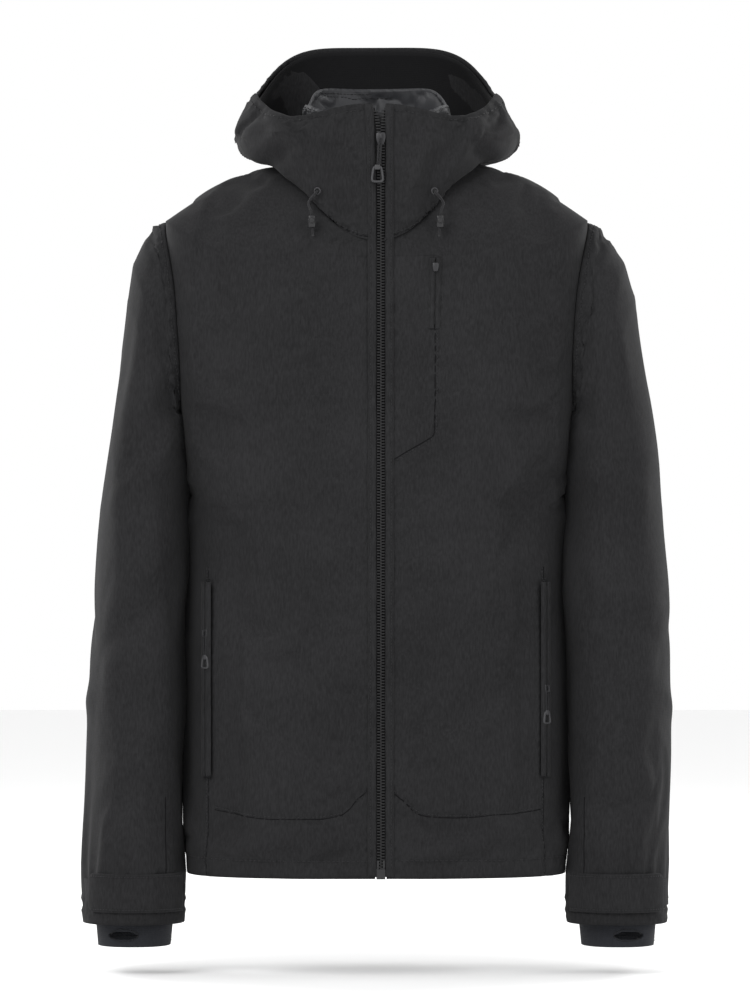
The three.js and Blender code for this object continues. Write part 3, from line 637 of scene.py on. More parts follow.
def add_light(name, where, aim, size, power):
    data = bpy.data.lights.new(name, "AREA")
    data.shape = "RECTANGLE"
    data.size, data.size_y = size
    data.energy = power
    lamp = bpy.data.objects.new(name, data)
    lamp.location = where
    lamp.rotation_euler = (Vector(aim) - Vector(where)).to_track_quat("-Z", "Y").to_euler()
    bpy.context.scene.collection.objects.link(lamp)


def add_studio():
    world = bpy.data.worlds.new("studio")
    world.use_nodes = True
    world.node_tree.nodes["Background"].inputs["Color"].default_value = (1, 1, 1, 1)
    world.node_tree.nodes["Background"].inputs["Strength"].default_value = 1.0
    bpy.context.scene.world = world
    bpy.context.scene.view_settings.view_transform = "Standard"
    aim = (0, -0.1, -0.3)
    add_light("key", (-1.6, -2.2, 1.5), aim, (1.6, 1.6), 60)
    add_light("fill", (1.9, -2.0, 0.6), aim, (1.6, 2.0), 26)
    add_light("rim_left", (-1.7, 1.0, 0.3), aim, (0.8, 2.0), 26)
    add_light("rim_right", (1.7, 1.0, 0.3), aim, (0.8, 2.0), 26)
    floor_z = GAITER_Z - 0.03
    floor = make_mesh("floor", [(-6, -6, floor_z), (6, -6, floor_z), (6, 6, floor_z), (-6, 6, floor_z)],
                      [(0, 1, 2, 3)], solid("floor_paint", (0.9, 0.9, 0.9), 0.7, wear=0.01))


# ---------------------------------------------------------------- body shell

SIDE_SEAM = 1.0
EDGE_LEFT = ZIP_X + 0.0058
EDGE_RIGHT = ZIP_X - 0.0058
YOKE_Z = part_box("chest_left")[0][2]


def front_point(x, z):
    """The place on the body's front at x and z."""
    half = np.interp(z, *HALF_WIDTH)
    power = np.interp(z, *SQUARENESS)
    angle = math.copysign(math.asin(min(abs(x) / half, 1) ** (power / 2)), x)
    return body_surface(np.array(angle), np.array(body_v(angle, z)))


def front_line(pairs, count=60):
    path = smooth_path([(x, 0, z) for x, z in pairs], count)
    return np.array([front_point(x, z) for x, _, z in path])


def side_line(side, low, high, count=80):
    angle = np.full(count, side * SIDE_SEAM)
    return body_surface(angle, body_v(angle, np.linspace(low, high, count)))


HEM_SEAM_RIGHT = [(-0.168, -0.650), (-0.117, -0.658), (-0.080, -0.659), (-0.043, -0.656), (-0.030, -0.650),
                  (-0.019, -0.638), (-0.005, -0.628)]
HEM_SEAM_LEFT = [(0.016, -0.630), (0.030, -0.641), (0.045, -0.654), (0.078, -0.657), (0.130, -0.654),
                 (0.172, -0.650)]
CHEST_SEAM = [(0.061, -0.152), (0.0608, -0.200), (0.0600, -0.255), (0.0575, -0.266), (0.026, -0.285),
              (0.013, -0.292)]
CHEST_ZIP_LINE = [(0.061, -0.083), (0.061, -0.152)]

BODY_FOLDS_RIGHT = [
    ((-0.150, -0.19, -0.500), (-0.060, -0.20, -0.560), 0.022, 0.0030),
    ((-0.165, -0.17, -0.455), (-0.090, -0.19, -0.470), 0.016, -0.0022),
    ((-0.140, -0.20, -0.690), (-0.050, -0.20, -0.668), 0.013, 0.0024),
    ((-0.100, -0.20, -0.715), (-0.020, -0.20, -0.690), 0.010, -0.0018),
    ((-0.185, -0.15, -0.270), (-0.110, -0.19, -0.330), 0.020, 0.0030),
    ((-0.190, -0.14, -0.235), (-0.130, -0.18, -0.260), 0.012, -0.0026),
    ((-0.060, -0.19, -0.110), (-0.150, -0.17, -0.190), 0.020, 0.0022),
]
BODY_FOLDS_LEFT = [
    ((0.185, -0.15, -0.255), (0.110, -0.19, -0.345), 0.018, 0.0034),
    ((0.190, -0.14, -0.300), (0.130, -0.18, -0.390), 0.014, -0.0028),
    ((0.060, -0.20, -0.690), (0.150, -0.19, -0.668), 0.013, 0.0024),
    ((0.030, -0.20, -0.712), (0.110, -0.20, -0.700), 0.010, -0.0016),
    ((0.150, -0.18, -0.470), (0.070, -0.20, -0.540), 0.020, 0.0028),
    ((0.050, -0.18, -0.160), (0.052, -0.19, -0.240), 0.010, -0.0026),
]
BODY_FOLDS_BACK = [
    ((-0.13, 0.04, -0.28), (0.02, 0.03, -0.34), 0.022, 0.0034),
    ((0.14, 0.04, -0.30), (0.03, 0.03, -0.40), 0.020, 0.0030),
    ((-0.10, 0.03, -0.46), (0.08, 0.03, -0.50), 0.020, -0.0030),
    ((-0.06, 0.03, -0.60), (0.10, 0.03, -0.57), 0.018, 0.0028),
]


def straighten_edges(points, left, right, reach):
    """Holds the two front edges of a C-shaped grid at fixed x, fading over a number of columns."""
    columns = points.shape[1]
    for edge, target, order in ((0, left, 1), (-1, right, -1)):
        shift = target - points[:, edge, 0]
        for k in range(reach):
            fade = (1 - k / reach) ** 2
            points[:, (k * order if order > 0 else columns - 1 - k), 0] += shift * fade
    return points


def body_shell():
    columns = 262
    angles, _ = even_angles(body_surface, (0.0165, 2 * np.pi - 0.0015), 0.6, columns)
    v = np.concatenate([np.linspace(0, 1, 128), np.linspace(1, 2.0, 34)[1:]])
    grid_u, grid_v = np.meshgrid(angles, v)
    points = straighten_edges(body_surface(grid_u, grid_v), EDGE_LEFT, EDGE_RIGHT, 8)
    piece = make_mesh("body_shell", points.reshape(-1, 3), grid_faces(len(v), columns, False), SHELL_CLOTH)
    add_uv(piece, len(v), columns, False, 1.12, 0.9)
    soft_noise(piece, 0.0016, 0.16, seed=3, stretch=(1, 1, 0.6))
    front_folded = [(front_point(a[0], a[2]), front_point(b[0], b[2]), width, height)
                    for a, b, width, height in BODY_FOLDS_RIGHT + BODY_FOLDS_LEFT]
    press_folds(piece, front_folded + BODY_FOLDS_BACK)
    pins = near_rows(len(v), columns, 5, 8, 9)
    place = coords(piece)
    in_arm = (np.abs(place[:, 0]) > 0.19) & (place[:, 2] > -0.30)
    side = np.abs(np.abs(np.arctan2(place[:, 0], -(place[:, 1] + 0.09))) - SIDE_SEAM)
    simulate(piece, np.maximum(pins, np.where(in_arm, 1.0, 0.0)), growth=0.035, reach=0.0042)
    seams = [front_line(line) for line in (HEM_SEAM_RIGHT, HEM_SEAM_LEFT, CHEST_SEAM, CHEST_ZIP_LINE)]
    seams += [side_line(side, HEM_Z, -0.40) for side in (-1, 1)]
    press_seams(piece, seams)
    return piece, seams


def dress_body(piece, seams):
    """Seam lines with their painted groove shade, and stitches, on the body."""
    names = ("hem_seam_right", "hem_seam_left", "chest_seam", "chest_welt", "side_seam_right",
             "side_seam_left")
    for name, line in zip(names, seams):
        seam_shade_ribbon(name, piece, line, JACKET)
        if name != "chest_welt":
            stitched(name + "_stitches", piece, line, JACKET, rows=(0.0022,))
    yoke_angles = np.linspace(SIDE_SEAM + 1.25, 2 * np.pi - SIDE_SEAM - 1.25, 160)
    yoke = body_surface(yoke_angles, body_v(yoke_angles, np.full(160, YOKE_Z)))
    seam_shade_ribbon("yoke_seam", piece, yoke, JACKET)
    stitched("yoke_stitches", piece, yoke, JACKET, rows=(0.0022,))
    hem = body_surface(np.linspace(0.02, 2 * np.pi - 0.005, 300), np.full(300, 0.028))
    stitched("hem_stitches", piece, hem, JACKET, pitch=0.005)
    for side in (-1, 1):
        wearer = "right" if side < 0 else "left"
        for bar_z in (-0.416, -0.616):
            bar = side_line(side, bar_z - 0.004, bar_z + 0.004, 5)
            name = f"bartack_{wearer}_{'top' if bar_z > -0.5 else 'bottom'}"
            stitched(name, piece, bar, JACKET, pitch=0.0012, rows=(-0.002, -0.001, 0, 0.001, 0.002))


# ---------------------------------------------------------------- hood

def hood_point(x, z):
    angle, v = math.copysign(0.5, x), 0.5
    for _ in range(60):
        p = hood_surface(np.array(angle), np.array(v))
        angle += (x - p[0]) / 0.26
        v = min(max(v + (z - p[2]) / 0.26, 0), 1)
    return hood_surface(np.array(angle), np.array(v))


HOOD_CREASES = [
    ((-0.142, -0.070, 0.004), (-0.092, -0.125, 0.030), 0.0110, -0.0075),
    ((-0.135, -0.085, 0.026), (-0.084, -0.138, 0.046), 0.013, 0.0045),
    ((-0.110, -0.120, 0.075), (-0.060, -0.160, 0.010), 0.013, 0.0070),
    ((-0.090, -0.150, 0.060), (-0.045, -0.168, 0.000), 0.009, -0.0040),
    ((-0.075, -0.150, 0.055), (-0.020, -0.172, -0.030), 0.012, 0.0040),
    ((-0.145, -0.050, 0.050), (-0.110, -0.115, 0.080), 0.011, -0.0040),
    ((0.143, -0.070, 0.004), (0.104, -0.118, 0.034), 0.0110, -0.0075),
    ((0.138, -0.085, 0.028), (0.090, -0.135, 0.052), 0.013, 0.0045),
    ((0.110, -0.120, 0.078), (0.070, -0.155, 0.000), 0.013, 0.0070),
    ((0.090, -0.145, 0.055), (0.055, -0.165, -0.015), 0.009, -0.0040),
    ((0.060, -0.160, 0.050), (0.030, -0.172, -0.030), 0.012, 0.0040),
    ((0.060, 0.060, 0.080), (-0.050, 0.065, 0.060), 0.014, 0.0040),
    ((0.100, 0.040, 0.050), (0.020, 0.060, 0.030), 0.014, 0.0060),
    ((-0.110, 0.040, 0.060), (-0.030, 0.060, 0.040), 0.013, 0.0055),
]


def hood_grid(angles, v, distance=0.0):
    grid_u, grid_v = np.meshgrid(angles, v)
    if distance == 0:
        return hood_surface(grid_u, grid_v)
    return offset(hood_surface, grid_u, grid_v, np.full(grid_u.shape, distance))


def hood_shell():
    columns = 230
    angles, _ = even_angles(hood_surface, (0.03, 2 * np.pi - 0.004), 0.5, columns)
    v = np.linspace(-0.012, 1.0, 64)
    points = straighten_edges(hood_grid(angles, v), EDGE_LEFT, EDGE_RIGHT, 8)
    top = np.linspace(0, 1, 64)[:, None] ** 3
    points[:, -12:, 0] -= 0.0035 * top * np.linspace(0, 1, 12)
    piece = make_mesh("hood_shell", points.reshape(-1, 3), grid_faces(64, columns, False), SHELL_CLOTH)
    add_uv(piece, 64, columns, False, 0.8, 0.26)
    soft_noise(piece, 0.0022, 0.10, seed=11)
    creases = []
    for start, end, width, height in HOOD_CREASES:
        if start[1] < 0:
            start, end = hood_point(start[0], start[2]), hood_point(end[0], end[2])
        creases.append((start, end, width, height))
    press_folds(piece, creases)
    simulate(piece, near_rows(64, columns, 5, 4, 7), growth=0.05, reach=0.0045)
    neck = hood_surface(np.linspace(0.05, 2 * np.pi - 0.03, 260), np.full(260, 0.008))
    rim = hood_surface(np.linspace(0.05, 2 * np.pi - 0.03, 260), np.full(260, 0.95))
    press_seams(piece, [neck], depth=0.0004, width=0.0030)
    press_seams(piece, [rim], depth=0.0010, width=0.0025)
    return piece, neck, rim


# ---------------------------------------------------------------- linings

def lining_pieces():
    angles, _ = even_angles(body_surface, (0.10, 2 * np.pi - 0.10), 0.6, 150)
    v = np.linspace(0.012, 1.5, 80)
    grid_u, grid_v = np.meshgrid(angles, v)
    points = offset(body_surface, grid_u, grid_v, np.full(grid_u.shape, -0.016))
    body = make_mesh("body_lining_cloth", points.reshape(-1, 3), grid_faces(80, 150, False), LINING_CLOTH_SHADED)
    add_uv(body, 80, 150, False, 1.0, 0.7)
    soft_noise(body, 0.0018, 0.07, seed=21)
    thicken(body, 0.0012)
    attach(body, JACKET)
    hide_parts("body_lining")

    angles, _ = even_angles(hood_surface, (0.16, 2 * np.pi - 0.16), 0.5, 200)
    top = 0.97 - 0.42 * np.clip(-1.6 * np.cos(angles) + 0.55, 0, 1)
    grid_v = 0.34 + (top - 0.34) * np.linspace(0, 1, 60)[:, None]
    grid_u = np.broadcast_to(angles, grid_v.shape)
    points = offset(hood_surface, grid_u, grid_v, np.full(grid_v.shape, -0.0135))
    hood = make_mesh("hood_lining_cloth", points.reshape(-1, 3), grid_faces(60, 200, False), LINING_CLOTH_SHADED)
    add_uv(hood, 60, 200, False, 0.8, 0.26)
    soft_noise(hood, 0.0022, 0.06, seed=22)
    press_folds(hood, [
        ((-0.06, 0.052, 0.135), (-0.03, 0.045, 0.060), 0.010, 0.0050),
        ((0.05, 0.052, 0.135), (0.03, 0.045, 0.055), 0.010, -0.0050),
        ((-0.10, 0.020, 0.120), (-0.06, 0.040, 0.060), 0.010, -0.0050),
        ((0.10, 0.020, 0.120), (0.07, 0.040, 0.060), 0.010, 0.0045),
    ])
    simulate(hood, near_rows(60, 200, 4, 4, 4), growth=0.08, reach=0.005)
    middle = np.stack([np.zeros(40), np.full(40, 0.05), np.linspace(0.03, 0.150, 40)], -1)
    press_seams(hood, [middle], depth=0.002)
    thicken(hood, 0.0012)
    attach(hood, JACKET)
    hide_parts("hood_lining")
    seam_shade_ribbon("hood_lining_seam", hood, middle, JACKET)


def brim_shade_band():
    """The stiff peak's inner face, along the back of the hood's rim, coloured far darker than the shell as
    painted shade inside the hood.
    """
    angles = np.linspace(0.53 * np.pi, 1.47 * np.pi, 130)
    points = hood_grid(angles, np.linspace(0.50, 0.985, 24), -0.0038)
    band = make_mesh("brim_shade_band", points.reshape(-1, 3), grid_faces(24, 130, False), BRIM_SHADE_CLOTH)
    add_uv(band, 24, 130, False, 0.4, 0.06)
    thicken(band, 0.001)
    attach(band, JACKET)


def collar():
    angles, _ = even_angles(collar_surface, (0.30, 2 * np.pi - 0.30), 0.5, 150)
    v = np.linspace(0.02, 1, 44)
    grid_u, grid_v = np.meshgrid(angles, v)
    piece = make_mesh("inner_collar_cloth", collar_surface(grid_u, grid_v).reshape(-1, 3),
                      grid_faces(44, 150, False), COLLAR_CLOTH_LIT)
    add_uv(piece, 44, 150, False, 0.45, 0.12)
    soft_noise(piece, 0.0020, 0.05, seed=31)
    simulate(piece, near_rows(44, 150, 5, 3, 5), growth=0.07, reach=0.004)
    thicken(piece, 0.0022)
    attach(piece, JACKET)
    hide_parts("inner_collar")
    for share in (0.045, 0.075):
        edge = collar_surface(angles[4:-4], np.full(142, 1 - share))
        stitched(f"collar_stitches_{int(share * 1000)}", piece, edge, JACKET, pitch=0.004)
    for side in (-1, 1):
        bar = collar_surface(np.full(20, np.pi - side * 1.25), np.linspace(0.45, 0.97, 20))
        name = f"collar_side_stitches_{'right' if side < 0 else 'left'}"
        stitched(name, piece, bar, JACKET, pitch=0.004, rows=(0, 0.004))


# ---------------------------------------------------------------- sleeves

SLEEVE_FOLDS = [
    ((0.250, -0.16, -0.120), (0.262, -0.15, -0.250), 0.012, 0.0030),
    ((0.215, -0.15, -0.240), (0.262, -0.16, -0.300), 0.011, -0.0036),
    ((0.212, -0.16, -0.300), (0.275, -0.15, -0.330), 0.012, 0.0036),
    ((0.215, -0.17, -0.405), (0.282, -0.15, -0.445), 0.014, 0.0040),
    ((0.212, -0.17, -0.455), (0.285, -0.15, -0.475), 0.010, -0.0040),
    ((0.215, -0.17, -0.520), (0.292, -0.15, -0.500), 0.014, 0.0036),
    ((0.222, -0.17, -0.590), (0.292, -0.15, -0.625), 0.015, 0.0030),
    ((0.230, -0.17, -0.660), (0.292, -0.15, -0.640), 0.010, -0.0028),
    ((0.245, -0.01, -0.430), (0.220, -0.02, -0.480), 0.014, 0.0036),
    ((0.290, -0.06, -0.440), (0.300, -0.12, -0.480), 0.013, -0.0034),
    ((0.300, -0.08, -0.560), (0.300, -0.13, -0.540), 0.013, 0.0030),
    ((0.208, -0.16, -0.640), (0.2216, -0.165, -0.706), 0.005, -0.0036),
    ((0.235, -0.165, -0.646), (0.2216, -0.165, -0.706), 0.005, -0.0026),
]


def settle_on_body(piece, body_piece, rows, columns, reach):
    """Lays the sleeve head's first rows on the body, where they are sewn to it."""
    points = coords(piece)
    for r in range(reach):
        fade = (1 - r / reach) ** 2
        least = 0.0010 + 0.0002 * r
        for c in range(columns):
            index = r * columns + c
            found, where, facing, _ = body_piece.closest_point_on_mesh(Vector(points[index]))
            gap = (Vector(points[index]) - where).dot(facing)
            on_body = np.array(where + facing * least)
            if gap < least:
                points[index] = on_body
            else:
                points[index] += (on_body - points[index]) * fade
    set_coords(piece, points)


def swell(points, side):
    """The fuller outer line of each upper arm."""
    outer_x = np.interp(points[..., 2], ARM[::-1, 1], ARM[::-1, 0])
    inner_x = np.interp(points[..., 2], ARM[::-1, 3], ARM[::-1, 2])
    share = np.clip((np.abs(points[..., 0]) - inner_x) / (outer_x - inner_x), 0, 1) ** 1.5
    points[..., 0] += side * share * np.interp(points[..., 2], *SWELL[side])
    closer = np.interp(points[..., 2], *CLOSER)
    points[..., 0] -= side * (1 - share) * closer
    return points


# How far each arm's outer line stands out, and how far its inner line leans on the body, at each height
SWELL = {
    1: ([-0.68, -0.56, -0.45, -0.30, -0.12, -0.06], [0, 0.006, 0.011, 0.015, 0.015, 0.009]),
    -1: ([-0.20, -0.12, -0.06], [0, 0.002, 0.006]),
}
CLOSER = ([-0.60, -0.54, -0.45, -0.30, -0.24], [0, 0.0062, 0.0066, 0.0055, 0])


def sleeve(side, body_piece):
    wearer = "right" if side < 0 else "left"
    body = f"sleeve_body_{wearer}"
    columns, rows = 110, 190
    angles = np.linspace(0, 2 * np.pi, columns, endpoint=False)
    s = np.interp(np.linspace(0, 1, rows), [0, 0.16, 0.34, 1], [0, 2.6, 6, len(ARM) - 1])
    grid_u, grid_v = np.meshgrid(angles, s)
    points = swell(tube_points(side, grid_u, grid_v, ARM), side)
    faces = grid_faces(rows, columns, True)
    if side < 0:
        faces = [face[::-1] for face in faces]
    piece = make_mesh(f"sleeve_cloth_{wearer}", points.reshape(-1, 3), faces, SHELL_CLOTH)
    add_uv(piece, rows, columns, True, 0.42, 0.75)
    soft_noise(piece, 0.0022, 0.12, seed=40 + side)
    sided = [((side * a[0], a[1], a[2]), (side * b[0], b[1], b[2]), w, h) for a, b, w, h in SLEEVE_FOLDS]
    if side < 0:
        sided = [((a[0], a[1], a[2] + 0.018), (b[0], b[1], b[2] - 0.012), w, h) for a, b, w, h in sided]
    press_folds(piece, sided)
    simulate(piece, near_rows(rows, columns, 6, 8), growth=0.07, reach=0.0055)
    press_seams(piece, [tube_points(side, np.linspace(0, 2 * np.pi, 90), np.full(90, len(ARM) - 1.22), ARM)],
                depth=0.0010)
    settle_on_body(piece, body_piece, rows, columns, 6)
    thicken(piece, 0.0014)
    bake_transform(piece)
    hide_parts(f"sleeve_{wearer}")
    head = coords(piece)[2 * columns:3 * columns]
    stitched(f"armhole_stitches_{wearer}", piece, [*head, head[0]], body=JACKET, pitch=0.0040)
    strip = [(side * 0.2085, -0.168, z) for z in np.linspace(-0.638, CUFF_Z + 0.036, 30)]
    seam_shade_ribbon(f"sleeve_strip_seam_{wearer}", piece, strip, body)
    cuff_edge = tube_points(side, np.linspace(0, 2 * np.pi, 120), np.full(120, len(ARM) - 1.19), ARM)
    stitched(f"cuff_stitches_{wearer}", piece, cuff_edge, body, pitch=0.0045)
    sleeve_lining(side, wearer, body)


def sleeve_lining(side, wearer, body):
    columns, rows = 60, 40
    angles = np.linspace(0, 2 * np.pi, columns, endpoint=False)
    grid_u, grid_v = np.meshgrid(angles, np.linspace(6.5, 11.6, rows))
    points = offset(lambda a, s: tube_points(side, side * a, s, ARM), grid_u, grid_v,
                    np.full(grid_u.shape, -0.0125))
    faces = grid_faces(rows, columns, True)
    piece = make_mesh(f"sleeve_lining_cloth_{wearer}", points.reshape(-1, 3), faces, LINING_CLOTH_SHADED)
    add_uv(piece, rows, columns, True, 0.4, 0.5)
    soft_noise(piece, 0.0010, 0.05, seed=51)
    thicken(piece, 0.001)
    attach(piece, body)
    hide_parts(f"sleeve_lining_{wearer}")


# ---------------------------------------------------------------- gaiters and cuff tabs

GAITER_TAPER = 0.88


def gaiter(side):
    """The stretch inner cuff, with its thumb slit."""
    wearer = "right" if side < 0 else "left"
    body = f"sleeve_body_{wearer}"
    low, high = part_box(f"gaiter_{wearer}")
    middle_x, middle_y = (low[0] + high[0]) / 2, (low[1] + high[1]) / 2
    half_x, half_y = (high[0] - low[0]) / 2, (high[1] - low[1]) / 2
    columns, rows = 150, 60
    turn = np.linspace(0, 2 * np.pi, columns, endpoint=False)
    share = np.linspace(0, 1, rows)
    grid_u, grid_s = np.meshgrid(turn, share)
    scale_x = 1 - (1 - GAITER_TAPER) * grid_s - 0.012 * np.sin(grid_u * 9) * (1 - grid_s)
    scale_y = 1 - (1 - GAITER_TAPER) * grid_s - 0.012 * np.cos(grid_u * 7) * (1 - grid_s)
    x = middle_x + half_x * scale_x * rounded(np.cos(grid_u), 2.3)
    y = middle_y - half_y * scale_y * rounded(np.sin(grid_u), 2.3)
    z = high[2] + (low[2] - high[2]) * grid_s
    points = np.stack([x, y, z], -1).reshape(-1, 3)
    slit_low, slit_high = CUFF_Z - 0.0165, CUFF_Z - 0.0075
    slit_x = side * 0.262
    faces = []
    for face in grid_faces(rows, columns, True):
        p = points[list(face)].mean(axis=0)
        along_slit = (p[0] - slit_x) / 0.0155
        across_slit = (p[2] - (slit_low + slit_high) / 2) / ((slit_high - slit_low) / 2)
        if p[1] < middle_y and along_slit ** 2 + across_slit ** 2 < 1:
            continue
        faces.append(face)
    piece = make_mesh(f"gaiter_knit_{wearer}", points, faces, GAITER_KNIT)
    layer = piece.data.uv_layers.new(name="cloth")
    for loop in piece.data.loops:
        r, c = divmod(loop.vertex_index, columns)
        layer.data[loop.index].uv = (0.28 * c / columns, 0.056 * r / rows)
    thicken(piece, 0.0016)
    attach(piece, body)
    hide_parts(f"gaiter_{wearer}")
    slit = [(slit_x + 0.0165 * math.cos(t), low[1], (slit_low + slit_high) / 2 + 0.0062 * math.sin(t))
            for t in np.linspace(0, 2 * np.pi, 40)]
    stitched(f"thumb_slit_stitches_{wearer}", piece, slit, body, pitch=0.0022)
    for share_z in (0.004, 0.007):
        end_x, end_y = half_x * GAITER_TAPER, half_y * GAITER_TAPER
        ring = [(middle_x + end_x * math.cos(t), middle_y - end_y * math.sin(t), low[2] + share_z)
                for t in np.linspace(0, 2 * np.pi, 90)]
        stitched(f"gaiter_hem_stitches_{wearer}_{int(share_z * 1000)}", piece, ring, body, pitch=0.0035)


def arm_station(z):
    """The station number at a height between the last two stations."""
    return len(ARM) - 2 + (z - ARM[-2][1]) / (ARM[-1][1] - ARM[-2][1])


def arm_patch(name, side, angles, z_low, z_high, distance, thickness, material, body, corner=0.0):
    """A patch that follows the sleeve, between two angles and two heights."""
    columns, rows = 60, 14
    grid_u, grid_z = np.meshgrid(np.linspace(*angles, columns), np.linspace(z_high, z_low, rows))
    if corner:
        inset = np.clip((corner - np.abs(grid_u - angles[0]) * 0.05) / corner, 0, 1) ** 2 * corner * 0.6
        middle = (z_low + z_high) / 2
        grid_z = grid_z - np.sign(grid_z - middle) * inset * np.abs(grid_z - middle) / (z_high - middle)
    points = offset(lambda a, s: tube_points(side, side * a, s, ARM), side * grid_u, arm_station(grid_z),
                    np.full(grid_u.shape, distance))
    faces = grid_faces(rows, columns, False)
    piece = make_mesh(name, points.reshape(-1, 3), faces, material)
    add_uv(piece, rows, columns, False, 0.13, 0.04)
    if side < 0:
        piece.data.flip_normals()
    thicken(piece, thickness)
    soften(piece, 0.0004, 1)
    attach(piece, body)
    return piece


def cuff(side):
    wearer = "right" if side < 0 else "left"
    tab_body = f"tab_body_{wearer}"
    sleeve_body = f"sleeve_body_{wearer}"
    tab_low, tab_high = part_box(f"cuff_tab_{wearer}")
    loop_low, loop_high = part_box(f"cuff_loop_{wearer}")
    tab = arm_patch(f"cuff_tab_cloth_{wearer}", side, (0.66, 2.66), tab_low[2], tab_high[2], 0.0048, 0.0018,
                    SHELL_CLOTH, tab_body, corner=0.008)
    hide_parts(f"cuff_tab_{wearer}")
    hook = arm_patch(f"cuff_hook_pile_{wearer}", side, (0.70, 0.95), tab_low[2] + 0.004, tab_high[2] - 0.004,
                     0.0026, 0.0009, HOOK_PILE, tab_body)
    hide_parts(f"cuff_hook_{wearer}")
    loop = arm_patch(f"cuff_loop_pile_{wearer}", side, (-0.45, 0.95), loop_low[2], loop_high[2],
                     0.0013, 0.0009, HOOK_PILE, sleeve_body)
    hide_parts(f"cuff_loop_{wearer}")
    for edge, z in (("top", tab_high[2] - 0.003), ("bottom", tab_low[2] + 0.003)):
        s = arm_station(z)
        angles = side * np.linspace(0.75, 2.6, 60)
        line = offset(lambda a, v: tube_points(side, side * a, v, ARM), angles, np.full(60, s),
                      np.full(60, 0.0048))
        stitched(f"cuff_tab_stitches_{wearer}_{edge}", tab, line, tab_body, pitch=0.0032)


# ---------------------------------------------------------------- the front zip

ZIP_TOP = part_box("zip_chain_left")[1][2]
ZIP_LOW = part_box("zip_bottom_box")[0][2]
SLIDER_Z = 0.042
TOOTH_PITCH = 0.0030
TOOTH_SIZE = (0.0048, 0.0024, 0.00135)
TOOTH_DEPTH = 0.0019
TAPE_DEPTH = 0.0031
TAPE_ACROSS = (0.0015, 0.005, 0.0085, 0.0115)
MAIN_SLIDER = dict(width=0.0096, height=0.0122, gap=0.0044, plate=0.0015)
SMALL_SLIDER = dict(width=0.0062, height=0.0088, gap=0.0018, plate=0.0011)
MAIN_PULL = dict(length=0.045, ring_width=0.013)
SMALL_PULL = dict(length=0.034, ring_width=0.010)
MAIN_PULL_LEAN = -0.0035
FOLD_WIDTH = 0.0050  # from the shell's edge to the line of stitches beside the zip


def front_place(x, depth, z):
    return np.array([x, front_y(z) + depth, z])


def spread(side, z):
    """How far each half of the zip lies from the middle: together below the slider, apart above it."""
    above = max(0.0, (z - SLIDER_Z) / (ZIP_TOP - SLIDER_Z))
    return -0.0042 * above ** 1.6 if side < 0 else 0.0020 * above ** 1.3


def zip_halves():
    for side in (-1, 1):
        wearer = "right" if side < 0 else "left"
        parts = []
        start = ZIP_LOW + 0.010 + (TOOTH_PITCH / 2 if side > 0 else 0)
        for z in np.arange(start, ZIP_TOP, TOOTH_PITCH):
            if abs(z - SLIDER_Z) < 0.005:
                continue
            centre = ZIP_X + spread(side, z) + side * 0.0016
            parts.append(box_part(front_place(centre, TOOTH_DEPTH, z), (1, 0, 0), (0, 1, 0), (0, 0, 1),
                                  TOOTH_SIZE))
        teeth = soften(join(f"zip_teeth_{wearer}", parts, TOOTH_PLASTIC), 0.0003, 2)
        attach(teeth, JACKET)
        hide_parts(f"zip_chain_{wearer}")
        heights = np.linspace(ZIP_LOW + 0.004, ZIP_TOP + 0.002, 160)
        rows = []
        for z in heights:
            middle = ZIP_X + spread(side, z)
            rows.append([front_place(middle + side * out, TAPE_DEPTH, z) for out in TAPE_ACROSS])
        tape = make_mesh(f"zip_tape_cloth_{wearer}", np.array(rows).reshape(-1, 3),
                         grid_faces(len(heights), 4, False), TAPE_WEAVE)
        add_uv(tape, len(heights), 4, False, 0.013, 0.8)
        if side > 0:
            tape.data.flip_normals()
        thicken(tape, 0.0007)
        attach(tape, JACKET)
        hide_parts(f"zip_tape_{wearer}")


def plate_part(outline, depths, at):
    """A flat plate from (x, z) corners, between two depths, at a place."""
    count = len(outline)
    points = [np.array(at) + (x, depth, z) for depth in depths for x, z in outline]
    faces = [tuple(range(count)), tuple(range(2 * count - 1, count - 1, -1))]
    faces += [(i, count + i, count + (i + 1) % count, (i + 1) % count) for i in range(count)]
    return points, faces


def slider_outline(width, height):
    w, h = width / 2, height / 2
    return [(-0.62 * w, -h), (0.62 * w, -h), (0.86 * w, -0.5 * h), (w, 0.1 * h), (w, 0.72 * h), (0.72 * w, h),
            (0.2 * w, h), (0, 0.8 * h), (-0.2 * w, h), (-0.72 * w, h), (-w, 0.72 * h), (-w, 0.1 * h),
            (-0.86 * w, -0.5 * h)]


def place_in(piece, matrix):
    """Moves a piece that was made about the origin, with its front to -Y, into a zip's own frame."""
    points = coords(piece) @ np.array(matrix.to_3x3()).T + np.array(matrix.translation)
    set_coords(piece, points)


def zip_slider(name, node, body, width, height, gap, plate, matrix, bridged):
    outline = slider_outline(width, height)
    parts = [
        plate_part(outline, (-gap / 2 - plate, -gap / 2), (0, 0, 0)),
        plate_part(outline, (gap / 2, gap / 2 + plate), (0, 0, 0)),
        box_part((0, 0, height / 2 - 0.0016), (1, 0, 0), (0, 1, 0), (0, 0, 1), (0.0009, gap + plate, 0.003)),
    ]
    if bridged:
        front = -gap / 2 - plate
        for z, high in ((height * 0.32, 0.0022), (-height * 0.30, 0.0022)):
            parts.append(box_part((0, front - high / 2, z), (1, 0, 0), (0, 1, 0), (0, 0, 1),
                                  (width * 0.26, high, height * 0.14)))
        parts.append(box_part((0, front - 0.0026, 0.0002), (1, 0, 0), (0, 1, 0), (0, 0, 1),
                              (width * 0.26, 0.0011, height * 0.74)))
    piece = soften(join(name, parts, SLIDER_METAL), 0.00028, 2)
    place_in(piece, matrix)
    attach(piece, body)
    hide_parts(node)


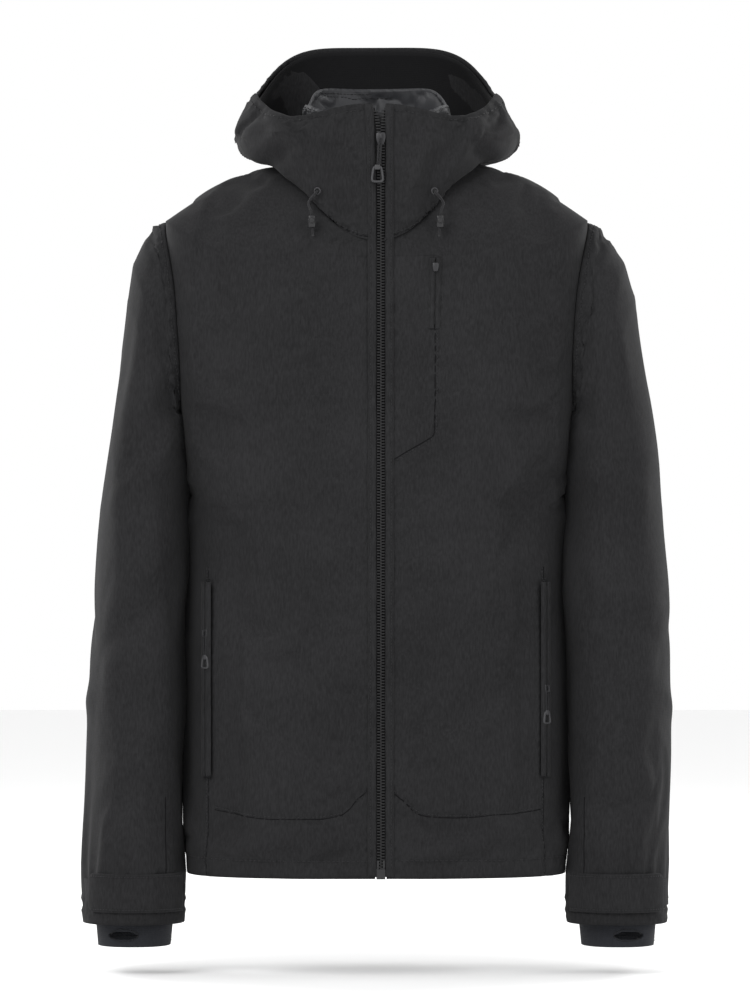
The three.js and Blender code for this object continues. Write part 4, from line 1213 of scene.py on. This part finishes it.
def pull(name, node, body, length, ring_width, matrix, lean=0.0):
    """A braided loop of cord that ends in a moulded open ring. The pivot is at its top."""
    ring_high = length * 0.38
    neck = -length + ring_high
    strands = []
    for side in (-1, 1):
        path = smooth_path([
            (0, 0, 0.0012), (side * 0.0010, 0, -0.001), (side * 0.0013 + lean * 0.3, 0, -0.008),
            (side * 0.0010 + lean * 0.7, 0, neck + 0.003), (side * 0.0007 + lean, 0, neck - 0.001),
        ], 60)
        strands.append(tube(f"{name}_strand_{'right' if side < 0 else 'left'}", path, 0.00085, CORD_BRAID,
                            sides=10, braid=0.10))
    w, h = ring_width / 2, ring_high / 2
    corners = [(-0.50 * w, h), (0.50 * w, h), (0.74 * w, 0.72 * h), (w, -0.55 * h), (0.84 * w, -0.92 * h),
               (0, -h), (-0.84 * w, -0.92 * h), (-w, -0.55 * h), (-0.74 * w, 0.72 * h)]
    loop = [(x * 0.86 + lean, 0, z * 0.88 + neck - h) for x, z in corners]
    path = resample(smooth_path(loop + [loop[0]], 90), 0.0011)[:-1]
    ring = tube(f"{name}_ring", path, 0.00125, PULL_PLASTIC, sides=12, closed=True)
    collar_block = box_part((lean, 0, neck - 0.0012), (1, 0, 0), (0, 1, 0), (0, 0, 1),
                            (ring_width * 0.46, 0.0032, 0.0052))
    block = soften(join(f"{name}_block", [collar_block], PULL_PLASTIC), 0.0009, 3)
    for piece in (*strands, ring, block):
        place_in(piece, matrix)
        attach(piece, body)
    for piece in (*strands, ring, block):
        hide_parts(node)


def front_matrix(x, depth, z):
    turn = Matrix.Rotation(-math.atan(LEAN), 4, "X")
    return Matrix.Translation(Vector(front_place(x, depth, z))) @ turn


def main_zip():
    zip_halves()
    zip_slider("main_slider_body", "zip_slider", "main_slider",
               matrix=front_matrix(ZIP_X, 0.0026, SLIDER_Z), bridged=True, **MAIN_SLIDER)
    pull("main_zip_pull", "zip_pull", "main_pull", matrix=front_matrix(ZIP_X, -0.0045, SLIDER_Z - 0.001),
         lean=MAIN_PULL_LEAN, **MAIN_PULL)
    low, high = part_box("zip_bottom_box")
    middle = ((low[0] + high[0]) / 2, (low[1] + high[1]) / 2, (low[2] + high[2]) / 2)
    parts = [box_part(middle, (1, 0, 0), (0, 1, 0), (0, 0, 1), (0.0092, 0.0044, 0.0104)),
             box_part((middle[0] - 0.0031, middle[1], middle[2] + 0.009), (1, 0, 0), (0, 1, 0), (0, 0, 1),
                      (0.0022, 0.0030, 0.010)),
             box_part((middle[0] + 0.0031, middle[1], middle[2] + 0.009), (1, 0, 0), (0, 1, 0), (0, 0, 1),
                      (0.0022, 0.0030, 0.010))]
    box = soften(join("zip_stop", parts, LOCK_PLASTIC), 0.0005, 2)
    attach(box, JACKET)
    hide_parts("zip_bottom_box")


def storm_flap():
    low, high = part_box("storm_flap")
    heights = np.linspace(low[2], high[2], 140)
    across = np.linspace(low[0], high[0], 12)
    grid_x, grid_z = np.meshgrid(across, heights)
    y = front_y(grid_z) + 0.0078
    piece = make_mesh("storm_flap_cloth", np.stack([grid_x, y, grid_z], -1).reshape(-1, 3),
                      grid_faces(140, 12, False), LINING_CLOTH_SHADED)
    add_uv(piece, 140, 12, False, 0.038, 0.8)
    soft_noise(piece, 0.0008, 0.06, seed=61)
    thicken(piece, 0.0012)
    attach(piece, JACKET)
    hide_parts("storm_flap")


def front_folds(body_piece, hood_piece):
    """The turned and stitched edge of the shell on each side of the zip."""
    for side in (-1, 1):
        wearer = "right" if side < 0 else "left"
        edge = EDGE_LEFT if side > 0 else EDGE_RIGHT
        heights = np.linspace(HEM_Z + 0.002, CHIN_Z - 0.001, 300)
        rows = []
        for z in heights:
            shell = body_piece if z < NECK["front"] else hood_piece
            top = max(0.0, (z - NECK["front"]) / (CHIN_Z - NECK["front"])) ** 3
            shift = -0.0035 * top if side < 0 else 0.0
            near_edge = Vector(front_place(edge + side * 0.004, -0.003, z))
            found, where, facing, _ = shell.closest_point_on_mesh(near_edge)
            rows.append((z, where.y, shift))
        y = np.array([row[1] for row in rows])
        y = np.convolve(np.pad(y, 6, mode="edge"), np.ones(13) / 13, mode="valid")
        profile = [
            (-0.0006, 0.0012), (-0.0007, 0.0002), (0.0002, -0.0011), (0.0024, -0.0013), (0.0050, -0.0010),
            (0.0066, -0.0009), (0.0072, 0.0004),
        ]
        points = [[(edge + shift + side * out, level + lift, z) for out, lift in profile]
                  for (z, _, shift), level in zip(rows, y)]
        piece = make_mesh(f"front_fold_{wearer}", np.array(points).reshape(-1, 3),
                          grid_faces(300, len(profile), False), SHELL_CLOTH)
        add_uv(piece, 300, len(profile), False, 0.012, 0.82)
        if side > 0:
            piece.data.flip_normals()
        soft_noise(piece, 0.0003, 0.03, seed=71)
        thicken(piece, 0.0006)
        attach(piece, JACKET)
        line = [(edge + shift + side * FOLD_WIDTH, level - 0.002, z) for (z, _, shift), level in zip(rows, y)]
        stitched(f"front_fold_stitches_{wearer}", piece, line[4:-4], JACKET, pitch=0.0034)


# ---------------------------------------------------------------- pocket zips

def surface_matrix(angle, z, depth=0.0):
    """A frame on the body: x round it, y into it, z up it."""
    angle, v = np.array(angle), np.array(body_v(angle, z))
    step = 1e-3
    around = body_surface(angle + step, v) - body_surface(angle - step, v)
    up = body_surface(angle, v + step) - body_surface(angle, v - step)
    up /= np.linalg.norm(up)
    inward = np.cross(up, around / np.linalg.norm(around))
    inward /= np.linalg.norm(inward)
    around = np.cross(inward, up)
    at = body_surface(angle, v) + inward * depth
    return Matrix([[around[i], inward[i], up[i], at[i]] for i in range(3)] + [[0, 0, 0, 1]])


def pocket_zip(name, node, matrix, length, mouth, coil_pitch=0.0018):
    """A pocket's opening: two folded lips, tape between them and a covered coil."""
    tape_rows = [[(x, depth, z) for x, depth in ((-mouth / 2, 0.0014), (0, 0.0008), (mouth / 2, 0.0014))]
                 for z in np.linspace(-length / 2, length / 2, 60)]
    tape = make_mesh(f"{name}_tape", np.array(tape_rows).reshape(-1, 3), grid_faces(60, 3, False), TAPE_WEAVE)
    add_uv(tape, 60, 3, False, mouth, length)
    thicken(tape, 0.0006)
    parts = []
    for z in np.arange(-length / 2 + 0.003, length / 2 - 0.003, coil_pitch):
        for side in (-1, 1):
            at = (side * 0.0007, 0.0003, z + (coil_pitch / 2 if side > 0 else 0))
            parts.append(box_part(at, (1, 0, 0.25 * side), (0, 1, 0), (0, 0, 1), (0.0017, 0.0010, 0.0009)))
    coil = join(f"{name}_coil", parts, TOOTH_PLASTIC)
    lips = []
    for side in (-1, 1):
        profile = ((0.0011, 0.0016), (0.0008, -0.0002), (0.0018, -0.0009), (0.0040, -0.0006),
                   (mouth / 2 + 0.003, 0.0010))
        rows = [[(side * x, depth, z) for x, depth in profile]
                for z in np.linspace(-length / 2 - 0.002, length / 2 + 0.002, 80)]
        lip = make_mesh(f"{name}_lip_{'a' if side < 0 else 'b'}", np.array(rows).reshape(-1, 3),
                        grid_faces(80, 5, False), SHELL_CLOTH)
        add_uv(lip, 80, 5, False, 0.008, length)
        if side > 0:
            lip.data.flip_normals()
        thicken(lip, 0.0005)
        lips.append(lip)
    for piece in (tape, coil, *lips):
        place_in(piece, matrix)
        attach(piece, JACKET)
        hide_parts(node)


def pockets():
    for side in (-1, 1):
        wearer = "right" if side < 0 else "left"
        low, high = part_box(f"hand_pocket_{wearer}_zip")
        middle_z = (low[2] + high[2]) / 2
        matrix = surface_matrix(side * SIDE_SEAM, middle_z)
        pocket_zip(f"hand_zip_{wearer}", f"hand_pocket_{wearer}_zip", matrix, high[2] - low[2], 0.008)
        low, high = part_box(f"hand_pocket_{wearer}_slider")
        slide = matrix @ Matrix.Translation((0, 0.0006, (low[2] + high[2]) / 2 - middle_z))
        zip_slider(f"hand_slider_{wearer}", f"hand_pocket_{wearer}_slider", f"pocket_slider_{wearer}",
                   matrix=slide, bridged=True, **SMALL_SLIDER)
        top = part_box(f"hand_pocket_{wearer}_pull")[1][2]
        hang = matrix @ Matrix.Translation((0, -0.0010, top - 0.0014 - middle_z))
        pull(f"hand_pull_{wearer}", f"hand_pocket_{wearer}_pull", f"pocket_pull_{wearer}", matrix=hang,
             **SMALL_PULL)
    low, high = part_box("chest_pocket_zip")
    middle_x, middle_z = (low[0] + high[0]) / 2, (low[2] + high[2]) / 2
    angle = math.asin((middle_x / np.interp(middle_z, *HALF_WIDTH)) ** (np.interp(middle_z, *SQUARENESS) / 2))
    matrix = surface_matrix(angle, middle_z)
    pocket_zip("chest_zip", "chest_pocket_zip", matrix, high[2] - low[2], 0.0065)
    low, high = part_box("chest_pocket_slider")
    slide = matrix @ Matrix.Translation((0, -0.0022, (low[2] + high[2]) / 2 - middle_z))
    zip_slider("chest_slider_body", "chest_pocket_slider", "chest_slider", matrix=slide, bridged=False,
               **SMALL_SLIDER)


def pocket_bag(node):
    """A flat bag of lining cloth inside the shell."""
    source = bpy.data.objects.get(node)
    piece = make_mesh(f"{node}_cloth", [source.matrix_world @ v.co for v in source.data.vertices],
                      [tuple(p.vertices) for p in source.data.polygons], LINING_CLOTH_SHADED)
    piece.data.uv_layers.new(name="cloth")
    set_coords(piece, coords(piece) * (0.955, 1, 1) + (0, 0.009, 0))
    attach(piece, JACKET)
    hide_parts(node)


# ---------------------------------------------------------------- cords, loop and label

def hood_cords():
    for side in (-1, 1):
        wearer = "right" if side < 0 else "left"
        low, high = (np.array(corner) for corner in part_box(f"hood_eyelet_{wearer}"))
        eyelet = (low + high) / 2
        lock_low, lock_high = (np.array(corner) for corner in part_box(f"cord_lock_{wearer}"))
        lock = (lock_low + lock_high) / 2
        cord_low, cord_high = (np.array(corner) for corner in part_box(f"hood_cord_{wearer}"))
        outer = cord_high[0] if side > 0 else cord_low[0]
        path = smooth_path([
            eyelet + (0, 0.004, 0), eyelet + (side * 0.001, -0.0015, -0.001),
            (outer - side * 0.003, eyelet[1] - 0.0035, eyelet[2] - 0.012),
            (lock[0] + side * 0.001, lock[1] + 0.0005, lock_high[2] + 0.003),
            (lock[0], lock[1], lock[2]), (lock[0] - side * 0.001, lock[1], lock_low[2] - 0.0065),
        ], 90)
        cord = tube(f"hood_cord_braid_{wearer}", path, 0.0013, CORD_BRAID, sides=12, braid=0.10)
        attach(cord, JACKET)
        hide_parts(f"hood_cord_{wearer}")
        tip_line = [path[-2], path[-1] + (0, 0, -0.0012)]
        tip = tube(f"hood_cord_tip_{wearer}", tip_line, 0.0016, LOCK_PLASTIC, sides=12)
        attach(tip, JACKET)
        facing = Vector(eyelet - np.array((0, 0, eyelet[2]))).normalized()
        turn = facing.to_track_quat("Z", "Y").to_matrix()
        ring = [Vector(eyelet) + turn @ Vector((0.0031 * math.cos(t), 0.0031 * math.sin(t), 0.0006))
                for t in np.linspace(0, 2 * np.pi, 40, endpoint=False)]
        grommet = tube(f"hood_eyelet_ring_{wearer}", ring, 0.0009, SLIDER_METAL, sides=10, closed=True)
        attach(grommet, JACKET)
        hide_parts(f"hood_eyelet_{wearer}")
        shell = soften(join(f"cord_lock_case_{wearer}", [
            box_part(lock, (1, 0, 0), (0, 1, 0), (0, 0, 1), (0.0074, 0.0074, 0.0125)),
            box_part(lock + (0, 0, 0.0008), (1, 0, 0), (0, 1, 0), (0, 0, 1), (0.0080, 0.0066, 0.0040)),
        ], LOCK_PLASTIC), 0.0015, 4)
        front = lock + (0, -0.0037, 0.001)
        seat_line = [front - (0, 0.003, 0), front + (0, 0.0020, 0)]
        seat = tube(f"button_seat_{wearer}", seat_line, 0.0028, None, sides=20)
        use_modifier(shell, "BOOLEAN", operation="DIFFERENCE", object=seat)
        bpy.data.objects.remove(seat)
        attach(shell, f"cord_lock_body_{wearer}")
        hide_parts(f"cord_lock_{wearer}")
        button_low, button_high = (np.array(corner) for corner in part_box(f"cord_lock_button_{wearer}"))
        middle = (button_low + button_high) / 2
        button_line = [middle + (0, 0.0012, 0), middle - (0, 0.0012, 0)]
        button = tube(f"cord_lock_button_cap_{wearer}", button_line, 0.0023, LOCK_PLASTIC, sides=20)
        soften(button, 0.0004, 2)
        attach(button, f"lock_button_{wearer}")
        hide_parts(f"cord_lock_button_{wearer}")


def hang_loop():
    low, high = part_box("hang_loop")
    half = (high[0] - low[0]) / 2 - 0.001
    top, bottom = high[2], low[2]
    path = smooth_path([(-half + 0.001, 0, bottom), (-half, 0, top - 0.010), (-half * 0.7, 0, top - 0.0016),
                        (0, 0, top - 0.0008), (half * 0.7, 0, top - 0.0016), (half, 0, top - 0.010),
                        (half - 0.001, 0, bottom)], 70)
    rows = []
    for i, point in enumerate(path):
        ahead = path[min(i + 1, 69)] - path[max(i - 1, 0)]
        ahead /= np.linalg.norm(ahead)
        out = np.array([-ahead[2], 0, ahead[0]])
        rows.append([point + (0, y, 0) + out * lift for y, lift in
                     ((-0.003, 0), (-0.002, 0.0003), (0, 0.0004), (0.002, 0.0003), (0.003, 0))])
    points = np.array(rows).reshape(-1, 3)
    piece = make_mesh("hang_loop_webbing", points, grid_faces(70, 5, False), CORD_BRAID)
    add_uv(piece, 70, 5, False, 0.006, 0.09)
    thicken(piece, 0.0012)
    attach(piece, JACKET)
    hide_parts("hang_loop")


def label():
    low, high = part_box("neck_label")
    grid_x, grid_z = np.meshgrid(np.linspace(low[0], high[0], 30), np.linspace(low[2], high[2], 16))
    y = (low[1] + high[1]) / 2 + 0.0004 * np.sin(grid_x * 160)
    piece = make_mesh("neck_label_cloth", np.stack([grid_x, y, grid_z], -1).reshape(-1, 3),
                      grid_faces(16, 30, False), LABEL_CLOTH)
    add_uv(piece, 16, 30, False, 0.046, 0.024)
    thicken(piece, 0.0007)
    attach(piece, JACKET)
    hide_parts("neck_label")


# ---------------------------------------------------------------- putting it together

def build_body():
    piece, seams = body_shell()
    bpy.context.view_layer.update()
    dress_body(piece, seams)
    return piece


def build_hood():
    piece, neck, rim = hood_shell()
    bpy.context.view_layer.update()
    seam_shade_ribbon("neck_seam", piece, neck, JACKET, width=0.0014)
    above_neck = hood_surface(np.linspace(0.05, 2 * np.pi - 0.03, 260), np.full(260, 0.026))
    stitched("neck_stitches", piece, above_neck, JACKET)
    stitched("hood_rim_stitches", piece, rim, JACKET, pitch=0.0042)
    for side in (-1, 1):
        angle = np.full(60, np.pi - side * 0.48 * np.pi)
        line = hood_surface(angle, np.linspace(0.02, 0.94, 60))
        name = f"hood_side_seam_{'right' if side < 0 else 'left'}"
        seam_shade_ribbon(name, piece, line, JACKET)
        stitched(name + "_stitches", piece, line, JACKET, rows=(0.002,))
    return piece


add_camera()
body_piece = build_body()
hood_piece = build_hood()
front_folds(body_piece, hood_piece)
for shell_piece in (body_piece, hood_piece):
    thicken(shell_piece, 0.0018)
    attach(shell_piece, JACKET)
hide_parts("front_hem_right", "front_right", "chest_right", "side_right", "front_hem_left",
            "front_left", "chest_left", "side_left", "back", "back_yoke")
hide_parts("hood_front_right", "hood_front_left", "hood_crown", "hood_brim")
lining_pieces()
brim_shade_band()
collar()
for arm_side in (-1, 1):
    sleeve(arm_side, body_piece)
    gaiter(arm_side)
    cuff(arm_side)
main_zip()
storm_flap()
pockets()
for bag in ("hand_pocket_bag_right", "hand_pocket_bag_left", "chest_pocket_bag"):
    pocket_bag(bag)
hood_cords()
hang_loop()
label()
add_studio()
